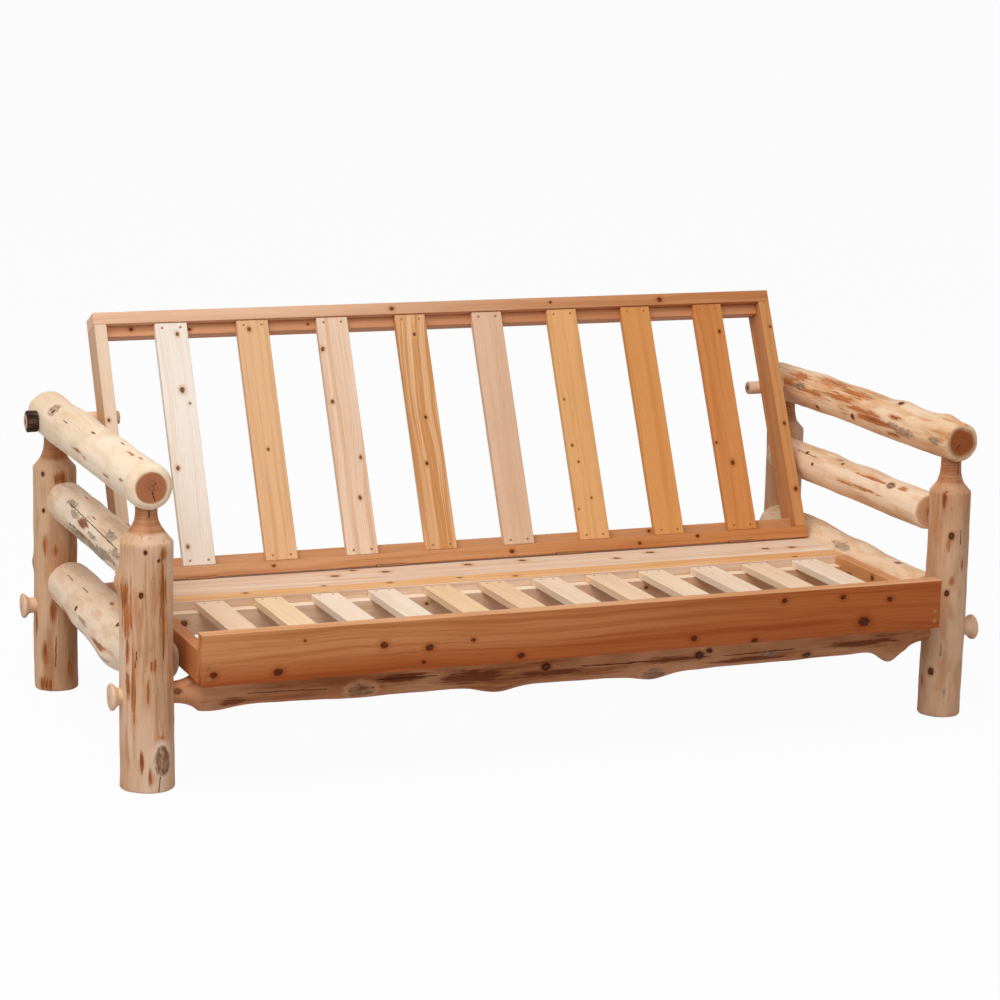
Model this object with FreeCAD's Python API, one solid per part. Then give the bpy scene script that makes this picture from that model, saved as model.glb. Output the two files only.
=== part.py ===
import FreeCAD, Part
import math
import os

# Rustic futon frame: four log posts carry two log arms, middle and lower side logs and two stretchers.
# A slatted seat frame is screwed between the lower side logs.
# A slatted back frame is hinged to the rear edge of the seat deck and leans on two pull-out pegs.
# Millimetres: X across the width, to the right as seen from the front, Y to the rear, Z up, floor at Z = 0.

V = FreeCAD.Vector
X_AXIS = V(1, 0, 0)
Y_AXIS = V(0, 1, 0)
Z_AXIS = V(0, 0, 1)
ORIGIN = V(0, 0, 0)

# Layout of the posts
POST_OUTSIDE_SEAT = 91.5
SEAT_OVERHANG = 140.0
ARM_REAR_REACH = 58.0
ARM_FRONT_REACH = 45.0

# Posts
FRONT_LEFT_POST_DIA = 125.0
FRONT_RIGHT_POST_DIA = 108.0
REAR_LEFT_POST_DIA = 113.0
REAR_RIGHT_POST_DIA = 105.0
POST_TAPER = 4.0
POST_SHOULDER_HEIGHT = 586.0
POST_FOOT_EASE = 3.0
SHOULDER_SLOPE_WIDTH = 12.0
SHOULDER_SLOPE_HEIGHT = 11.0
NECK_HEIGHT = 54.0
TENON_DIA = 51.0
ARM_TENON_ABOVE_AXIS = 12.0

# Arm logs
ARM_HEIGHT = 712.0
LEFT_ARM_DIA = 107.0
RIGHT_ARM_DIA = 99.0
LOG_TAPER = 4.0
LOG_SWELL = 2.0
ARM_RIM = 9.0

# Side logs between the posts of each arm
SIDE_LOG_RIM = 8.0
SIDE_LOG_BITE = 3.0
SIDE_TENON_DIA = 34.0
SIDE_TENON_END_GAP = 4.0
LEFT_MIDDLE_LOG_DIA = 103.0
RIGHT_MIDDLE_LOG_DIA = 95.0
LEFT_MIDDLE_LOG_INSET = 19.0
RIGHT_MIDDLE_LOG_INSET = 30.0
LEFT_MIDDLE_LOG_HEIGHT = 498.0
RIGHT_MIDDLE_LOG_HEIGHT = 521.0
LEFT_LOWER_LOG_FRONT_DIA = 130.0
LEFT_LOWER_LOG_REAR_DIA = 120.0
RIGHT_LOWER_LOG_FRONT_DIA = 98.0
RIGHT_LOWER_LOG_REAR_DIA = 124.0
LEFT_LOWER_LOG_INSET = 29.0
RIGHT_LOWER_LOG_INSET = 34.0
LEFT_LOWER_LOG_ABOVE_SEAT_BOTTOM = 16.0
RIGHT_LOWER_LOG_ABOVE_SEAT_BOTTOM = 44.0

# Stretchers, their bolts and the wooden knobs outside the posts
STRETCHER_HEIGHT = 220.0
STRETCHER_DIA = 90.0
STRETCHER_NECK_LENGTH = 64.0
STRETCHER_NECK_PAST_FACE = 8.0
STRETCHER_TENON_END_GAP = 6.0
KNOB_DIA = 64.0
KNOB_CAP_THICKNESS = 22.0
KNOB_STEM_DIA = 40.0
KNOB_STEM_DEPTH = 24.0
KNOB_STAND_OFF = 5.0
KNOB_RIM = 7.0
BOLT_DIA = 10.0
BOLT_GRIP = 34.0

# Seat frame
SEAT_WIDTH = 1905.0
SEAT_BOTTOM = 264.0
SEAT_RAIL_HEIGHT = 78.0
SEAT_RAIL_THICKNESS = 32.0
FRONT_BOARD_HEIGHT = 122.0
FRONT_BOARD_THICKNESS = 36.0
SEAT_DEPTH = 713.5
DECK_BOARD_WIDTH = 215.0
DECK_BOARD_THICKNESS = 22.0
FRONT_LEDGER_HEIGHT = 38.0
FRONT_LEDGER_THICKNESS = 30.0
REAR_LEDGER_THICKNESS = 40.0
REAR_LEDGER_UNDER_DECK = 12.0
SEAT_SLAT_COUNT = 12
SEAT_SLAT_WIDTH = 70.0
SEAT_SLAT_LEFT_GAP = 92.0
SEAT_SLAT_RIGHT_GAP = 62.0
SEAT_SLAT_END_GAP = 3.0
SLAT_THICKNESS = 19.0
BOARD_EASE = 2.0
BOARD_EASE_MOST_SHARE = 0.2

# Back frame, in its own flat plane and then leaned back
BACK_HEIGHT = 704.0
BACK_SIDE_CLEARANCE = 2.0
BACK_BOARD_THICKNESS = 32.0
BACK_BOARD_DEPTH = 76.0
BACK_RECLINE_DEG = 25.4
BACK_LEDGER_HEIGHT = 28.0
BACK_LEDGER_DEPTH = 38.0
BACK_SLAT_COUNT = 8
BACK_SLAT_WIDTH = 84.0
BACK_SLAT_LEFT_GAP = 126.5
BACK_SLAT_RIGHT_GAP = 114.0
BACK_SLAT_RECESS = 4.0
BACK_SLAT_END_GAP = 1.0

# Hinges between the deck board and the back
HINGE_COUNT = 4
HINGE_END_DISTANCE = 202.5
HINGE_LENGTH = 76.0
HINGE_LEAF_WIDTH = 20.0
HINGE_LEAF_THICKNESS = 2.0
HINGE_KNUCKLE_DIA = 9.0
HINGE_PIN_DIA = 5.0
HINGE_PIN_CLEARANCE = 0.1
HINGE_KNUCKLE_GAP = 0.5
HINGE_RECESS_CLEARANCE = 0.5
HINGE_EDGE_GAP = 1.5
HINGE_RISE = 2.0
HINGE_SCREWS_PER_LEAF = 3

# Lock pegs
PEG_DIA = 35.0
PEG_BORE_CLEARANCE = 0.3
PEG_SEAT_GAP = 0.3
PEG_PAST_STILE = 28.5
PEG_TO_TENON_WALL = 20.4
PEG_HEAD_DIA = 55.0
PEG_HEAD_LENGTH = 32.0
PEG_HEAD_CHAMFER = 4.0
PEG_END_ROUND = 3.0
PEG_HEAD_GAP = 0.5

# Nails and screws
NAIL_SHANK_DIA = 3.0
NAIL_HEAD_DIA = 7.0
NAIL_HEAD_THICKNESS = 1.2
NAIL_LENGTH = 38.0
NAIL_EDGE_DISTANCE = 18.0
NAIL_END_DISTANCE = 14.0
SCREW_SHANK_DIA = 5.0
SCREW_HEAD_DIA = 10.0
SCREW_HEAD_THICKNESS = 3.0
SCREW_LENGTH = 75.0
FRAME_SCREW_LOW = 19.0
FRAME_SCREW_SPACING = 25.0
CORNER_SCREW_EDGE_DISTANCE = 19.0
HINGE_SCREW_SHANK_DIA = 3.0
HINGE_SCREW_HEAD_DIA = 6.5
HINGE_SCREW_HEAD_THICKNESS = 1.4
HINGE_SCREW_LENGTH = 24.0
LAG_COUNT_PER_SIDE = 3
LAG_SPACING = 190.0
LAG_SHANK_DIA = 10.0
LAG_HEAD_ACROSS_FLATS = 16.0
LAG_HEAD_THICKNESS = 7.0
LAG_LENGTH = 80.0

# Places worked out from the sizes above
POST_X = SEAT_WIDTH / 2 + POST_OUTSIDE_SEAT
SEAT_TOP = SEAT_BOTTOM + SEAT_RAIL_HEIGHT
LEDGER_TOP = SEAT_TOP - DECK_BOARD_THICKNESS
LEFT_LOWER_LOG_HEIGHT = SEAT_BOTTOM + LEFT_LOWER_LOG_ABOVE_SEAT_BOTTOM
RIGHT_LOWER_LOG_HEIGHT = SEAT_BOTTOM + RIGHT_LOWER_LOG_ABOVE_SEAT_BOTTOM
HINGE_Z = SEAT_TOP + HINGE_RISE
BACK_WIDTH = SEAT_WIDTH - 2 * BACK_SIDE_CLEARANCE
BACK_BOTTOM_Z = HINGE_EDGE_GAP
BACK_OPEN_LOW = BACK_BOTTOM_Z + BACK_BOARD_THICKNESS
BACK_OPEN_HIGH = BACK_HEIGHT - BACK_BOARD_THICKNESS
BACK_LEDGER_FRONT = BACK_SLAT_RECESS + SLAT_THICKNESS
TENON_RADIUS = TENON_DIA / 2
RECLINE = math.radians(BACK_RECLINE_DEG)
PEG_RADIUS = PEG_DIA / 2
PEG_DEPTH_BEHIND_FACE = BACK_BOARD_DEPTH + PEG_RADIUS + PEG_SEAT_GAP
PEG_UP_SLOPE = (ARM_HEIGHT - HINGE_Z + PEG_DEPTH_BEHIND_FACE * math.sin(RECLINE)) / math.cos(RECLINE)
PEG_BEHIND_HINGE = PEG_UP_SLOPE * math.sin(RECLINE) + PEG_DEPTH_BEHIND_FACE * math.cos(RECLINE)
PEG_INNER_END = BACK_WIDTH / 2 - BACK_BOARD_THICKNESS - PEG_PAST_STILE
REAR_POST_BEHIND_PEG = PEG_RADIUS + PEG_TO_TENON_WALL + TENON_RADIUS
OVERALL_DEPTH = SEAT_DEPTH + HINGE_EDGE_GAP + PEG_BEHIND_HINGE + REAR_POST_BEHIND_PEG + ARM_REAR_REACH
SEAT_FRONT_Y = -OVERALL_DEPTH / 2
SEAT_INSIDE_Y = SEAT_FRONT_Y + FRONT_BOARD_THICKNESS
SEAT_REAR_Y = SEAT_FRONT_Y + SEAT_DEPTH
DECK_FRONT_Y = SEAT_REAR_Y - DECK_BOARD_WIDTH
HINGE_Y = SEAT_REAR_Y + HINGE_EDGE_GAP
PEG_Y = HINGE_Y + PEG_BEHIND_HINGE
FRONT_POST_Y = SEAT_FRONT_Y + SEAT_OVERHANG
REAR_POST_Y = PEG_Y + REAR_POST_BEHIND_PEG
LARGEST_ARM_RADIUS = (max(LEFT_ARM_DIA, RIGHT_ARM_DIA) + LOG_SWELL) / 2
PEG_HEAD_X = POST_X + LARGEST_ARM_RADIUS + PEG_HEAD_GAP
LARGEST_POST_DIA = max(FRONT_LEFT_POST_DIA, FRONT_RIGHT_POST_DIA, REAR_LEFT_POST_DIA, REAR_RIGHT_POST_DIA)
KNOB_CAP_X = POST_X + LARGEST_POST_DIA / 2 + KNOB_STAND_OFF

SIDES = {"left": -1, "right": 1}


# Helpers for turned and sawn shapes

def profile_point(radius, height):
    return V(radius, 0, height)


def line(start, end):
    return Part.LineSegment(start, end).toShape()


def arc(start, middle, end):
    return Part.Arc(start, middle, end).toShape()


def revolve(edges):
    """Turns a closed half profile, drawn in the XZ plane, about Z."""
    return Part.Face(Part.Wire(edges)).revolve(ORIGIN, Z_AXIS, 360)


def grown_edge(start, end, swell):
    """The gently swelling side of a log between two profile points."""
    middle = profile_point((start.x + end.x) / 2 + swell, (start.z + end.z) / 2)
    curve = Part.BSplineCurve()
    curve.interpolate(Points=[start, middle, end], InitialTangent=Z_AXIS, FinalTangent=Z_AXIS)
    return curve.toShape()


def rim_arc(radius, height, rim, direction):
    """A quarter round at the end of a log; direction is 1 at its start and -1 at its far end."""
    diagonal = rim * math.sqrt(0.5)
    flat = profile_point(radius - rim, height)
    middle = profile_point(radius - rim + diagonal, height + direction * (rim - diagonal))
    side = profile_point(radius, height + direction * rim)
    return flat, middle, side


def cove(outer, inner):
    """A hollow curve that leaves the wide end flat and meets the narrow end upright."""
    reach = math.sqrt(0.5)
    middle = V(outer.x - (outer.x - inner.x) * reach, 0, inner.z - (inner.z - outer.z) * reach)
    return arc(outer, middle, inner)


def log_body(length, start_radius, end_radius, rim):
    """A peeled log along Z with rounded ends."""
    start_flat, start_mid, start_side = rim_arc(start_radius, 0, rim, 1)
    end_flat, end_mid, end_side = rim_arc(end_radius, length, rim, -1)
    foot = profile_point(0, 0)
    top = profile_point(0, length)
    return revolve([
        line(foot, start_flat),
        arc(start_flat, start_mid, start_side),
        grown_edge(start_side, end_side, LOG_SWELL / 2),
        arc(end_side, end_mid, end_flat),
        line(end_flat, top),
        line(top, foot),
    ])


def cylinder(radius, start, end):
    span = end.sub(start)
    return Part.makeCylinder(radius, span.Length, start, span)


def along_y(shape, x, y, z):
    """Lays a shape that was turned about Z along Y, starting at the given point."""
    shape.rotate(ORIGIN, X_AXIS, -90)
    shape.translate(V(x, y, z))
    return shape


def along_x(shape, direction, x, y, z):
    """Lays a shape that was turned about Z along X, in the given direction."""
    shape.rotate(ORIGIN, Y_AXIS, 90 * direction)
    shape.translate(V(x, y, z))
    return shape


def board(low, high):
    """A sawn board between two corners, with its edges eased."""
    size = high.sub(low)
    box = Part.makeBox(size.x, size.y, size.z, low)
    radius = min(BOARD_EASE, BOARD_EASE_MOST_SHARE * min(size.x, size.y, size.z))
    return box.makeFillet(radius, box.Edges)


def headed_pin(point, direction, shank_dia, head_dia, head_thickness, length):
    """A nail or screw whose head is flush at the point and whose shank runs along direction."""
    head = Part.makeCylinder(head_dia / 2, head_thickness, point, direction)
    shank = Part.makeCylinder(shank_dia / 2, length, point, direction)
    return head.fuse(shank).removeSplitter()


def nail(point, direction):
    return headed_pin(point, direction, NAIL_SHANK_DIA, NAIL_HEAD_DIA, NAIL_HEAD_THICKNESS, NAIL_LENGTH)


def screw(point, direction):
    return headed_pin(point, direction, SCREW_SHANK_DIA, SCREW_HEAD_DIA, SCREW_HEAD_THICKNESS, SCREW_LENGTH)


def hinge_screw(point, direction):
    return headed_pin(point, direction, HINGE_SCREW_SHANK_DIA, HINGE_SCREW_HEAD_DIA,
                      HINGE_SCREW_HEAD_THICKNESS, HINGE_SCREW_LENGTH)


def centred_row(count, pitch):
    return [(index - (count - 1) / 2) * pitch for index in range(count)]


def spread_row(count, first, last):
    """Evenly spaced places from the first to the last."""
    return [first + (last - first) * index / (count - 1) for index in range(count)]


# Posts, arms and side logs

def raw_post(diameter):
    """A post about Z: a tapering log, a sloped shoulder, a hollow neck and the tenon for the arm."""
    foot_radius = diameter / 2
    top_radius = foot_radius - POST_TAPER / 2
    foot_flat = profile_point(foot_radius - POST_FOOT_EASE, 0)
    foot_side = profile_point(foot_radius, POST_FOOT_EASE)
    shoulder = profile_point(top_radius, POST_SHOULDER_HEIGHT)
    slope_top = profile_point(top_radius - SHOULDER_SLOPE_WIDTH, POST_SHOULDER_HEIGHT + SHOULDER_SLOPE_HEIGHT)
    neck_top = profile_point(TENON_RADIUS, slope_top.z + NECK_HEIGHT)
    tenon_top = profile_point(TENON_RADIUS, ARM_HEIGHT + ARM_TENON_ABOVE_AXIS)
    return revolve([
        line(ORIGIN, foot_flat),
        line(foot_flat, foot_side),
        grown_edge(foot_side, shoulder, 0),
        line(shoulder, slope_top),
        cove(slope_top, neck_top),
        line(neck_top, tenon_top),
        line(tenon_top, profile_point(0, tenon_top.z)),
        line(profile_point(0, tenon_top.z), ORIGIN),
    ])


def post_diameter(end, side):
    return {
        ("front", "left"): FRONT_LEFT_POST_DIA,
        ("front", "right"): FRONT_RIGHT_POST_DIA,
        ("rear", "left"): REAR_LEFT_POST_DIA,
        ("rear", "right"): REAR_RIGHT_POST_DIA,
    }[(end, side)]


def post_y(end):
    return FRONT_POST_Y if end == "front" else REAR_POST_Y


def post_half_chord(end, side, inset):
    """How far a post's foot reaches from its axis along Y, at the given distance inward of the axis."""
    return math.sqrt((post_diameter(end, side) / 2) ** 2 - inset ** 2)


def arm_log(side, raw_posts):
    diameter = LEFT_ARM_DIA if side == "left" else RIGHT_ARM_DIA
    length = ARM_FRONT_REACH + REAR_POST_Y - FRONT_POST_Y + ARM_REAR_REACH
    x = SIDES[side] * POST_X
    body = log_body(length, diameter / 2, (diameter - LOG_TAPER) / 2, ARM_RIM)
    body = along_y(body, x, FRONT_POST_Y - ARM_FRONT_REACH, ARM_HEIGHT)
    bore = cylinder(PEG_RADIUS + PEG_BORE_CLEARANCE, V(x - diameter, PEG_Y, ARM_HEIGHT),
                    V(x + diameter, PEG_Y, ARM_HEIGHT))
    return body.cut([raw_posts[("front", side)], raw_posts[("rear", side)], bore])


def side_log(side, inset, height, front_dia, rear_dia, raw_posts):
    """A log between two posts: ends scribed to them, with a round tenon into each. Returns log and tenons."""
    x = SIDES[side] * (POST_X - inset)
    start = FRONT_POST_Y + post_half_chord("front", side, inset) - SIDE_LOG_BITE
    end = REAR_POST_Y - post_half_chord("rear", side, inset) + SIDE_LOG_BITE
    body = log_body(end - start, front_dia / 2, rear_dia / 2, SIDE_LOG_RIM)
    body = along_y(body, x, start, height)
    body = body.cut([raw_posts[("front", side)], raw_posts[("rear", side)]])
    front_root = V(x, start + SIDE_LOG_RIM, height)
    front_tip = V(x, FRONT_POST_Y + TENON_RADIUS + SIDE_TENON_END_GAP, height)
    rear_root = V(x, end - SIDE_LOG_RIM, height)
    rear_tip = V(x, REAR_POST_Y - TENON_RADIUS - SIDE_TENON_END_GAP, height)
    tenon_radius = SIDE_TENON_DIA / 2
    tenons = [cylinder(tenon_radius, front_root, front_tip), cylinder(tenon_radius, rear_root, rear_tip)]
    return body.fuse(tenons), tenons


def seat_space():
    """The space between the lower logs that the seat frame takes, to which they are planed flat."""
    return Part.makeBox(SEAT_WIDTH, OVERALL_DEPTH, POST_SHOULDER_HEIGHT, V(-SEAT_WIDTH / 2, SEAT_FRONT_Y, 0))


# Stretchers with their knobs and bolts

def stretcher_half(direction):
    """Half of a stretcher, from its middle along X: body, hollow neck and tenon."""
    tenon_end = POST_X - STRETCHER_TENON_END_GAP
    neck_end = POST_X - LARGEST_POST_DIA / 2 + STRETCHER_NECK_PAST_FACE
    neck_start = neck_end - STRETCHER_NECK_LENGTH
    radius = STRETCHER_DIA / 2
    body_start = profile_point(radius + LOG_SWELL / 2, 0)
    body_end = profile_point(radius, neck_start)
    neck_tip = profile_point(TENON_RADIUS, neck_end)
    tip = profile_point(TENON_RADIUS, tenon_end)
    half = revolve([
        line(ORIGIN, body_start),
        grown_edge(body_start, body_end, 0),
        cove(body_end, neck_tip),
        line(neck_tip, tip),
        line(tip, profile_point(0, tenon_end)),
        line(profile_point(0, tenon_end), ORIGIN),
    ])
    half.rotate(ORIGIN, Y_AXIS, 90 * direction)
    return half


def stretcher(end):
    whole = stretcher_half(-1).fuse(stretcher_half(1)).removeSplitter()
    whole.translate(V(0, post_y(end), STRETCHER_HEIGHT))
    return whole


def knob(side, end):
    """A mushroom knob whose stem is let into the outside of a post."""
    stem_start = profile_point(KNOB_STEM_DIA / 2, 0)
    stem_end = profile_point(KNOB_STEM_DIA / 2, KNOB_STEM_DEPTH + KNOB_STAND_OFF)
    cap_under = profile_point(KNOB_DIA / 2, stem_end.z + KNOB_CAP_THICKNESS / 2)
    flat, middle, rim_side = rim_arc(KNOB_DIA / 2, stem_end.z + KNOB_CAP_THICKNESS, KNOB_RIM, -1)
    body = revolve([
        line(ORIGIN, stem_start),
        line(stem_start, stem_end),
        line(stem_end, cap_under),
        line(cap_under, rim_side),
        arc(rim_side, middle, flat),
        line(flat, profile_point(0, flat.z)),
        line(profile_point(0, flat.z), ORIGIN),
    ])
    direction = SIDES[side]
    start_x = KNOB_CAP_X - KNOB_STAND_OFF - KNOB_STEM_DEPTH
    return along_x(body, direction, direction * start_x, post_y(end), STRETCHER_HEIGHT)


def stretcher_bolt(side, end):
    direction = SIDES[side]
    inner = POST_X - STRETCHER_TENON_END_GAP - BOLT_GRIP
    y = post_y(end)
    return cylinder(BOLT_DIA / 2, V(direction * inner, y, STRETCHER_HEIGHT),
                    V(direction * KNOB_CAP_X, y, STRETCHER_HEIGHT))


# Seat frame

def front_board():
    return board(V(-SEAT_WIDTH / 2, SEAT_FRONT_Y, SEAT_BOTTOM),
                 V(SEAT_WIDTH / 2, SEAT_INSIDE_Y, SEAT_BOTTOM + FRONT_BOARD_HEIGHT))


def seat_side_rail(side):
    """A side rail, rebated at its rear so that the deck board lies flush in it."""
    outer = SEAT_WIDTH / 2
    inner = outer - SEAT_RAIL_THICKNESS
    low_x, high_x = (inner, outer) if side == "right" else (-outer, -inner)
    rail = board(V(low_x, SEAT_INSIDE_Y, SEAT_BOTTOM), V(high_x, SEAT_REAR_Y, SEAT_TOP))
    rebate = Part.makeBox(SEAT_WIDTH, DECK_BOARD_WIDTH, DECK_BOARD_THICKNESS,
                          V(-SEAT_WIDTH / 2, DECK_FRONT_Y, LEDGER_TOP))
    return rail.cut(rebate)


def seat_cross_piece(front_y, thickness, low_z):
    """A piece between the side rails whose top carries slats or the deck board."""
    half = SEAT_WIDTH / 2 - SEAT_RAIL_THICKNESS
    return board(V(-half, front_y, low_z), V(half, front_y + thickness, LEDGER_TOP))


def deck_board():
    return board(V(-SEAT_WIDTH / 2, DECK_FRONT_Y, LEDGER_TOP), V(SEAT_WIDTH / 2, SEAT_REAR_Y, SEAT_TOP))


def seat_slat(x):
    return board(V(x - SEAT_SLAT_WIDTH / 2, SEAT_INSIDE_Y, LEDGER_TOP),
                 V(x + SEAT_SLAT_WIDTH / 2, DECK_FRONT_Y - SEAT_SLAT_END_GAP, LEDGER_TOP + SLAT_THICKNESS))


def seat_nails(x):
    side_step = SEAT_SLAT_WIDTH / 2 - NAIL_EDGE_DISTANCE
    front_y = SEAT_INSIDE_Y + NAIL_END_DISTANCE
    rear_y = DECK_FRONT_Y - SEAT_SLAT_END_GAP - NAIL_END_DISTANCE
    top = LEDGER_TOP + SLAT_THICKNESS
    places = [(x + step, y) for step in (-side_step, side_step) for y in (front_y, rear_y)]
    return [nail(V(px, py, top), V(0, 0, -1)) for px, py in places]


def seat_frame_screws():
    """Screws through the front board into the side rails, and through the side rails into the rear rail."""
    screws = []
    rail_middle = SEAT_WIDTH / 2 - SEAT_RAIL_THICKNESS / 2
    rear_middle = SEAT_REAR_Y - SEAT_RAIL_THICKNESS / 2
    lower_screw = SEAT_BOTTOM + FRAME_SCREW_LOW
    for direction in SIDES.values():
        for height in (lower_screw, lower_screw + FRAME_SCREW_SPACING):
            screws.append(screw(V(direction * rail_middle, SEAT_FRONT_Y, height), Y_AXIS))
            screws.append(screw(V(direction * SEAT_WIDTH / 2, rear_middle, height), V(-direction, 0, 0)))
    return screws


def lag_screws(side):
    """Hex-head screws from inside the seat rail into the lower log."""
    direction = SIDES[side]
    height = LEFT_LOWER_LOG_HEIGHT if side == "left" else RIGHT_LOWER_LOG_HEIGHT
    head_x = direction * (SEAT_WIDTH / 2 - SEAT_RAIL_THICKNESS)
    middle_y = (FRONT_POST_Y + DECK_FRONT_Y) / 2 + LAG_SPACING / 2
    corner = LAG_HEAD_ACROSS_FLATS / math.sqrt(3)
    turns = [math.radians(60 * index) for index in range(7)]
    screws = []
    for step in centred_row(LAG_COUNT_PER_SIDE, LAG_SPACING):
        start = V(head_x, middle_y + step, height)
        corners = [start + V(0, corner * math.cos(turn), corner * math.sin(turn)) for turn in turns]
        head = Part.Face(Part.makePolygon(corners)).extrude(V(-direction * LAG_HEAD_THICKNESS, 0, 0))
        shank = cylinder(LAG_SHANK_DIA / 2, start, start + V(direction * LAG_LENGTH, 0, 0))
        screws.append(head.fuse(shank).removeSplitter())
    return screws


# Back frame, drawn flat: X across, Y behind the front face, Z up the slope from the hinge line

def lean_back(shape):
    shape.rotate(ORIGIN, X_AXIS, -BACK_RECLINE_DEG)
    shape.translate(V(0, HINGE_Y, HINGE_Z))
    return shape


def back_rail(low_z):
    return board(V(-BACK_WIDTH / 2, 0, low_z),
                 V(BACK_WIDTH / 2, BACK_BOARD_DEPTH, low_z + BACK_BOARD_THICKNESS))


def back_stile(side):
    outer = BACK_WIDTH / 2
    inner = outer - BACK_BOARD_THICKNESS
    low_x, high_x = (inner, outer) if side == "right" else (-outer, -inner)
    return board(V(low_x, 0, BACK_OPEN_LOW), V(high_x, BACK_BOARD_DEPTH, BACK_OPEN_HIGH))


def back_ledger(low_z):
    half = BACK_WIDTH / 2 - BACK_BOARD_THICKNESS
    return board(V(-half, BACK_LEDGER_FRONT, low_z),
                 V(half, BACK_LEDGER_FRONT + BACK_LEDGER_DEPTH, low_z + BACK_LEDGER_HEIGHT))


def back_slat(x):
    return board(V(x - BACK_SLAT_WIDTH / 2, BACK_SLAT_RECESS, BACK_OPEN_LOW + BACK_SLAT_END_GAP),
                 V(x + BACK_SLAT_WIDTH / 2, BACK_LEDGER_FRONT, BACK_OPEN_HIGH - BACK_SLAT_END_GAP))


def back_nails(x):
    side_step = BACK_SLAT_WIDTH / 2 - NAIL_EDGE_DISTANCE
    heights = (BACK_OPEN_LOW + BACK_LEDGER_HEIGHT / 2, BACK_OPEN_HIGH - BACK_LEDGER_HEIGHT / 2)
    places = [(x + step, z) for step in (-side_step, side_step) for z in heights]
    return [nail(V(px, BACK_SLAT_RECESS, pz), Y_AXIS) for px, pz in places]


def back_corner_screws():
    screws = []
    stile_middle = BACK_WIDTH / 2 - BACK_BOARD_THICKNESS / 2
    for direction in SIDES.values():
        for depth in (CORNER_SCREW_EDGE_DISTANCE, BACK_BOARD_DEPTH - CORNER_SCREW_EDGE_DISTANCE):
            screws.append(screw(V(direction * stile_middle, depth, BACK_BOTTOM_Z), Z_AXIS))
            screws.append(screw(V(direction * stile_middle, depth, BACK_HEIGHT), V(0, 0, -1)))
    return screws


# Hinges, drawn about the hinge line as X with the line at the origin

def knuckle_length():
    return (HINGE_LENGTH - 2 * HINGE_KNUCKLE_GAP) / 3


def knuckle(start_x, bore_radius):
    start = V(start_x, 0, 0)
    end = V(start_x + knuckle_length(), 0, 0)
    return cylinder(HINGE_KNUCKLE_DIA / 2, start, end), cylinder(bore_radius, start, end)


def hinge_leaf(x, plate, knuckle_starts, bore_radius, screws):
    """A leaf: its plate, cleared beside the other leaf's knuckles, and its own knuckles bored for the pin."""
    room = Part.makeCylinder(HINGE_KNUCKLE_DIA / 2 + HINGE_RECESS_CLEARANCE, HINGE_LENGTH,
                             V(x - HINGE_LENGTH / 2, 0, 0), X_AXIS)
    leaf = plate.cut(room)
    for start in knuckle_starts:
        outside, bore = knuckle(x - HINGE_LENGTH / 2 + start, bore_radius)
        bridge_box = plate.BoundBox
        bridge = Part.makeBox(knuckle_length(), bridge_box.YLength, bridge_box.ZLength,
                              V(x - HINGE_LENGTH / 2 + start, bridge_box.YMin, bridge_box.ZMin))
        leaf = leaf.fuse([outside, bridge]).cut(bore)
    return leaf.cut(screws).removeSplitter()


def deck_leaf_plate(x):
    return Part.makeBox(HINGE_LENGTH, HINGE_LEAF_THICKNESS, HINGE_LEAF_WIDTH,
                        V(x - HINGE_LENGTH / 2, -HINGE_EDGE_GAP - HINGE_LEAF_THICKNESS, -HINGE_LEAF_WIDTH))


def back_leaf_plate(x):
    return Part.makeBox(HINGE_LENGTH, HINGE_LEAF_WIDTH, HINGE_LEAF_THICKNESS,
                        V(x - HINGE_LENGTH / 2, 0, HINGE_EDGE_GAP))


def hinge_screw_row(x):
    return [x + step for step in centred_row(HINGE_SCREWS_PER_LEAF, knuckle_length())]


def deck_leaf_screws(x):
    height = -HINGE_RISE - DECK_BOARD_THICKNESS / 2
    return [hinge_screw(V(px, -HINGE_EDGE_GAP, height), V(0, -1, 0)) for px in hinge_screw_row(x)]


def back_leaf_screws(x):
    depth = (HINGE_KNUCKLE_DIA / 2 + HINGE_LEAF_WIDTH) / 2
    return [hinge_screw(V(px, depth, HINGE_EDGE_GAP), Z_AXIS) for px in hinge_screw_row(x)]


def hinge_room(x):
    """The round recess that both boards have for the knuckles."""
    radius = HINGE_KNUCKLE_DIA / 2 + HINGE_RECESS_CLEARANCE
    half = HINGE_LENGTH / 2 + HINGE_RECESS_CLEARANCE
    return Part.makeCylinder(radius, 2 * half, V(x - half, 0, 0), X_AXIS)


def at_hinge(shape):
    shape.translate(V(0, HINGE_Y, HINGE_Z))
    return shape


# Lock pegs

def lock_peg(side):
    """A peg with a stout head, pushed through the arm from outside to behind the back frame."""
    length = PEG_HEAD_X - PEG_INNER_END
    end_flat, end_mid, end_side = rim_arc(PEG_RADIUS, 0, PEG_END_ROUND, 1)
    head_radius = PEG_HEAD_DIA / 2
    head_end = length + PEG_HEAD_LENGTH
    shank_end = profile_point(PEG_RADIUS, length)
    head_start = profile_point(head_radius, length)
    head_side = profile_point(head_radius, head_end - PEG_HEAD_CHAMFER)
    head_flat = profile_point(head_radius - PEG_HEAD_CHAMFER, head_end)
    body = revolve([
        line(ORIGIN, end_flat),
        arc(end_flat, end_mid, end_side),
        line(end_side, shank_end),
        line(shank_end, head_start),
        line(head_start, head_side),
        line(head_side, head_flat),
        line(head_flat, profile_point(0, head_end)),
        line(profile_point(0, head_end), ORIGIN),
    ])
    direction = SIDES[side]
    return along_x(body, direction, direction * PEG_INNER_END, PEG_Y, ARM_HEIGHT)


# Assembly

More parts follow.
